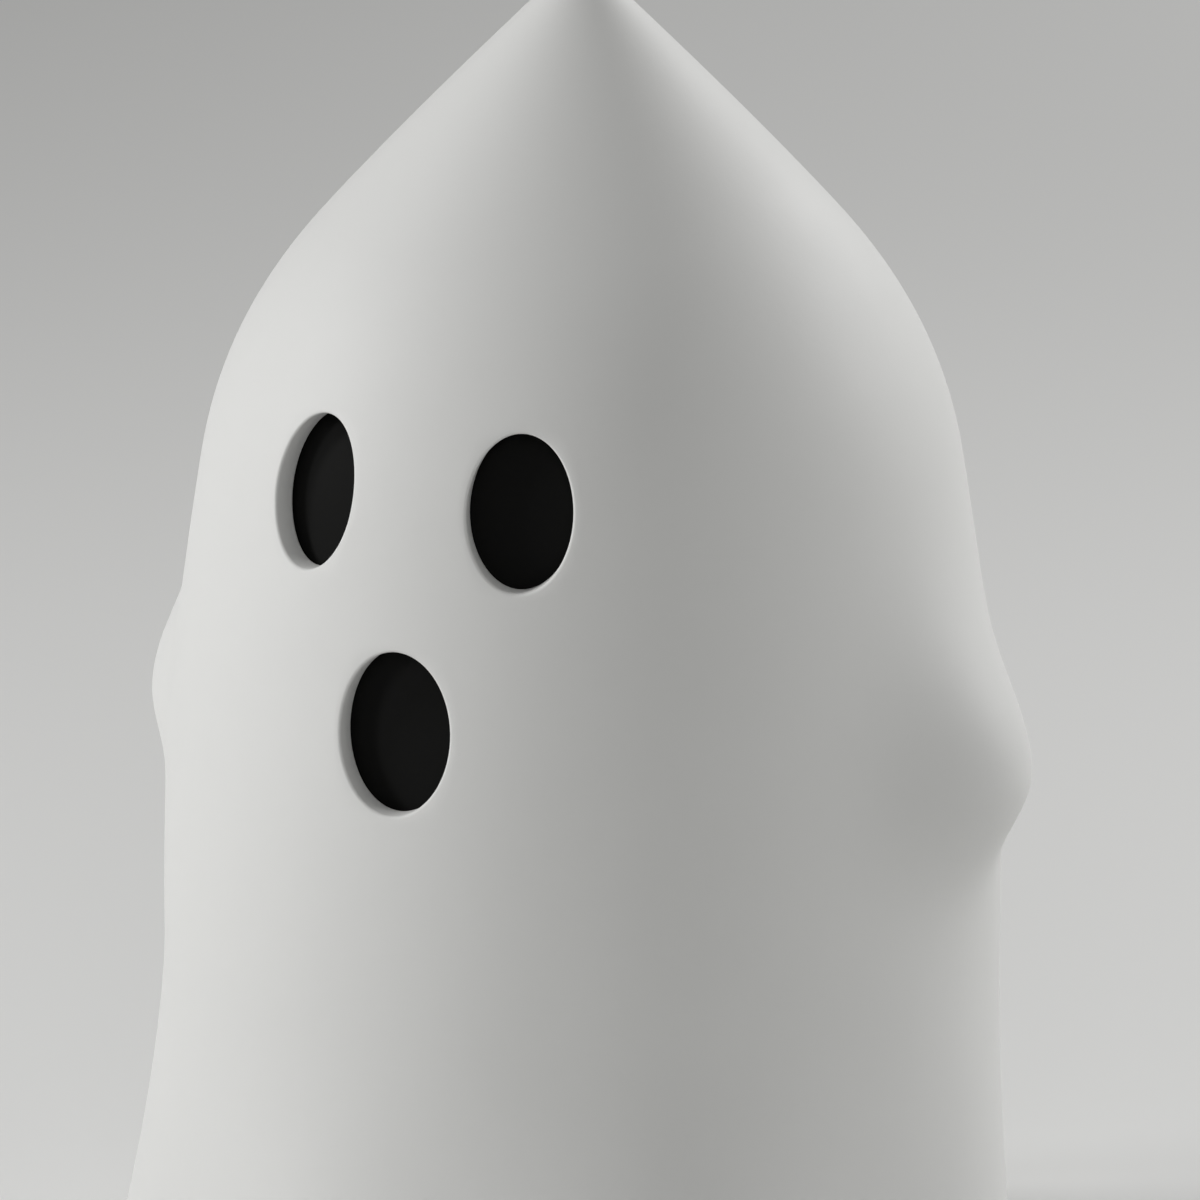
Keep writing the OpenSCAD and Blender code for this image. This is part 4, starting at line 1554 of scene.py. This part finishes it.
@dataclass
class SlideSwitch:
    """The slide switch in the base and the knob under it."""

    can_edge: float = 0.00015
    knob_edge: float = 0.00018

    def build(self, frame: Frame) -> None:
        """Models and dresses the switch, its screws and its knob.

        Args:
            frame: The loaded frame.
        """
        Moulding("switch_body", "switch_case", Body.BASE, Slot.SWITCH_CAN, SWITCH_CAN,
                 self.can_edge).build(frame)
        Moulding("switch_knob", "slide_knob", Body.KNOB, Slot.KNOB_BLACK, KNOB_BLACK,
                 self.knob_edge).build(frame)
        low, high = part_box("switch_screws")
        screw = PanScrew()
        aside = (high.x - low.x) / 2 - screw.head_r
        back = (low.y + high.y) / 2
        turn = math.pi - math.atan2(aside, back)
        screw.fasten("switch_screws", (turn, -turn), math.hypot(aside, back))


@dataclass(frozen=True)
class Lead:
    """An insulated lead with bare, tinned ends, along a route in millimetres."""

    node: str
    slot: Slot
    finish: Finish
    route: Sequence[Triple]
    radius: float = 0.0007
    core_r: float = 0.0004
    steps: int = 8
    stripped: int = 4
    crease: float = 50.0

    def path(self) -> list[Vector]:
        """Smooth path through the route's points.

        Returns:
            Closely spaced points, in metres.
        """
        points = [Vector(point) * MILLIMETRE for point in self.route]
        padded = [points[0], *points, points[-1]]
        path = []
        for before, start, end, after in zip(padded, padded[1:], padded[2:], padded[3:]):
            for index in range(self.steps):
                share = index / self.steps
                path.append(Vector(
                    cubic(share, 1.0, start[axis], (end[axis] - before[axis]) / 2,
                          end[axis], (after[axis] - start[axis]) / 2) for axis in range(3)))
        return [*path, points[-1]]

    def build(self) -> None:
        """Models and dresses the insulation and the bare core."""
        path = self.path()
        layers = (
            ("sleeve", path[self.stripped:-self.stripped], self.radius, self.slot, self.finish),
            ("core", path, self.core_r, Slot.CONTACT_NICKEL, CONTACT_NICKEL),
        )
        for layer, route, radius, slot, finish in layers:
            piece = Workpiece.tube(f"{self.node}_{layer}", route, radius)
            piece.smooth(self.crease)
            piece.dress(finish)
            piece.fit(Body.BASE, slot, self.node)


LEADS = (
    Lead("red_lead", Slot.LEAD_RED, LEAD_RED, (
        (29.75, 4, 13.75), (32.35, 4, 13.75), (35.35, 10, 11.75), (33, 18, 10), (24, 26, 10),
        (12, 29, 12), (6, 31, 15), (3.6, 32, 14.7), (3.6, 32, 12.9))),
    Lead("black_lead", Slot.LEAD_BLACK, LEAD_BLACK, (
        (-29.75, -20, 13.75), (-32.35, -20, 13.75), (-35.85, -13, 11.75), (-37, 0, 11),
        (-33, 12, 10), (-20, 18, 10), (-7, 18, 11.5), (-1.8, 18, 16.2), (-1.6, 18, 21.2),
        (-2, 17, 25.5), (-2, 14.5, 26.7), (-2, 12.5, 25.7), (-2, 12.5, 23.9))),
    Lead("white_lead", Slot.LEAD_WHITE, LEAD_WHITE, (
        (-3.6, 32, 12.9), (-3.6, 32, 14.7), (-3, 28, 14.8), (0, 22, 13.6), (1.8, 18, 16.2),
        (1.6, 18, 21.2), (2, 17, 25.5), (2, 14.5, 26.7), (2, 12.5, 25.7), (2, 12.5, 23.9))),
)


@dataclass
class Base:
    """The round battery base: tray, deck and all that they carry."""

    edge: float = 0.0002
    screw_count: int = 4

    def build(self, frame: Frame) -> None:
        """Models and dresses the base.

        Args:
            frame: The loaded frame.
        """
        for node, name in (("base_tray", "round_tray"), ("base_deck", "round_deck")):
            Moulding(node, name, Body.BASE, Slot.BASE_WHITE, BASE_WHITE, self.edge).build(frame)
        BatteryDoor().build(frame)
        RubberFeet().build()
        screw = PanScrew()
        turns = [FULL_TURN * index / self.screw_count for index in range(self.screw_count)]
        screw.fasten("deck_screws", turns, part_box("deck_screws")[1].x - screw.head_r)
        LightDome().build()
        LightBoard().build(frame)
        BatteryPack().build(frame)
        SlideSwitch().build(frame)
        for lead in LEADS:
            lead.build()


@dataclass(frozen=True)
class SoftLight:
    """One square studio light that faces the lantern, turned from the camera's side of it."""

    name: str
    turn: float
    lift: float
    distance: float
    size: float
    power: float


@dataclass
class Studio:
    """Plain pale floor, soft lights and the camera at the photograph's angle."""

    camera_turn: float = math.radians(26.02)
    camera_away: float = 0.65
    camera_height: float = 0.2711
    camera_pitch: float = math.radians(14.43)
    camera_aside: float = math.radians(0.203)
    lens: float = 154.92
    sensor: float = 36.0
    clip_start: float = 0.01
    floor_size: float = 24.0
    world_colour: Colour = (0.22, 0.22, 0.2175)
    aim_height: float = 0.1
    lights: Sequence[SoftLight] = (
        SoftLight("left_light", math.radians(-80), math.radians(8), 2.6, 0.4, 17.4),
        SoftLight("upper_light", math.radians(-95), math.radians(32), 0.8, 0.125, 1.96),
        SoftLight("right_light", math.radians(105), math.radians(27), 0.8, 0.28, 1.65),
        SoftLight("back_light", math.radians(137), math.radians(27), 2.6, 0.9, 19.9),
        SoftLight("front_light", math.radians(0), math.radians(30), 1.5, 0.5, 2.0),
    )

    def around_camera(self, turn: float, lift: float, distance: float) -> Vector:
        """Place at a turn from the camera's side of the lantern.

        Args:
            turn: Angle round the lantern from the camera, towards the picture's right.
            lift: Angle above level.
            distance: Distance from the lantern's middle.

        Returns:
            The place.
        """
        azimuth = self.camera_turn + turn
        level = distance * math.cos(lift)
        return Vector((level * math.sin(azimuth), -level * math.cos(azimuth),
                       self.aim_height + distance * math.sin(lift)))

    def build_camera(self) -> None:
        """Sets the camera up where the photograph was taken."""
        data = bpy.data.cameras.new("camera")
        data.lens = self.lens
        data.sensor_width = self.sensor
        data.clip_start = self.clip_start
        camera = bpy.data.objects.new("camera", data)
        level = self.around_camera(0.0, 0.0, self.camera_away)
        camera.location = (level.x, level.y, self.camera_height)
        camera.rotation_euler = (
            QUARTER_TURN - self.camera_pitch, 0.0, self.camera_turn - self.camera_aside)
        bpy.context.scene.collection.objects.link(camera)
        bpy.context.scene.camera = camera

    def build_lights(self) -> None:
        """Hangs the soft lights and fills the room with even light."""
        aim = Vector((0.0, 0.0, self.aim_height))
        for light in self.lights:
            data = bpy.data.lights.new(light.name, "AREA")
            data.size = light.size
            data.energy = light.power
            lamp = bpy.data.objects.new(light.name, data)
            lamp.location = self.around_camera(light.turn, light.lift, light.distance)
            lamp.rotation_euler = (aim - lamp.location).to_track_quat("-Z", "Y").to_euler()
            bpy.context.scene.collection.objects.link(lamp)
        world = bpy.data.worlds.new("studio")
        world.use_nodes = True
        background = world.node_tree.nodes["Background"]
        background.inputs["Color"].default_value = (*self.world_colour, 1.0)
        bpy.context.scene.world = world
        bpy.context.scene.view_settings.view_transform = "Standard"

    def build_floor(self) -> None:
        """Lays the plain pale floor."""
        piece = Workpiece.start("floor", bpy.ops.mesh.primitive_plane_add, size=self.floor_size)
        piece.dress(FLOOR_PALE)

    def build(self) -> None:
        """Builds the studio."""
        self.build_camera()
        self.build_lights()
        self.build_floor()


def main() -> None:
    """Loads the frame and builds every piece."""
    logging.basicConfig(level=logging.INFO, format="%(name)s %(message)s")
    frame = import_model()
    form = DrapedForm(rim_z=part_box("ghost_shell")[0].z)
    openings = FaceLayout().openings(form.rim_z)
    GhostShell(form, openings).build()
    FacePlates(form, openings).build()
    Base().build(frame)
    Studio().build()


if __name__ == "__main__":
    main()
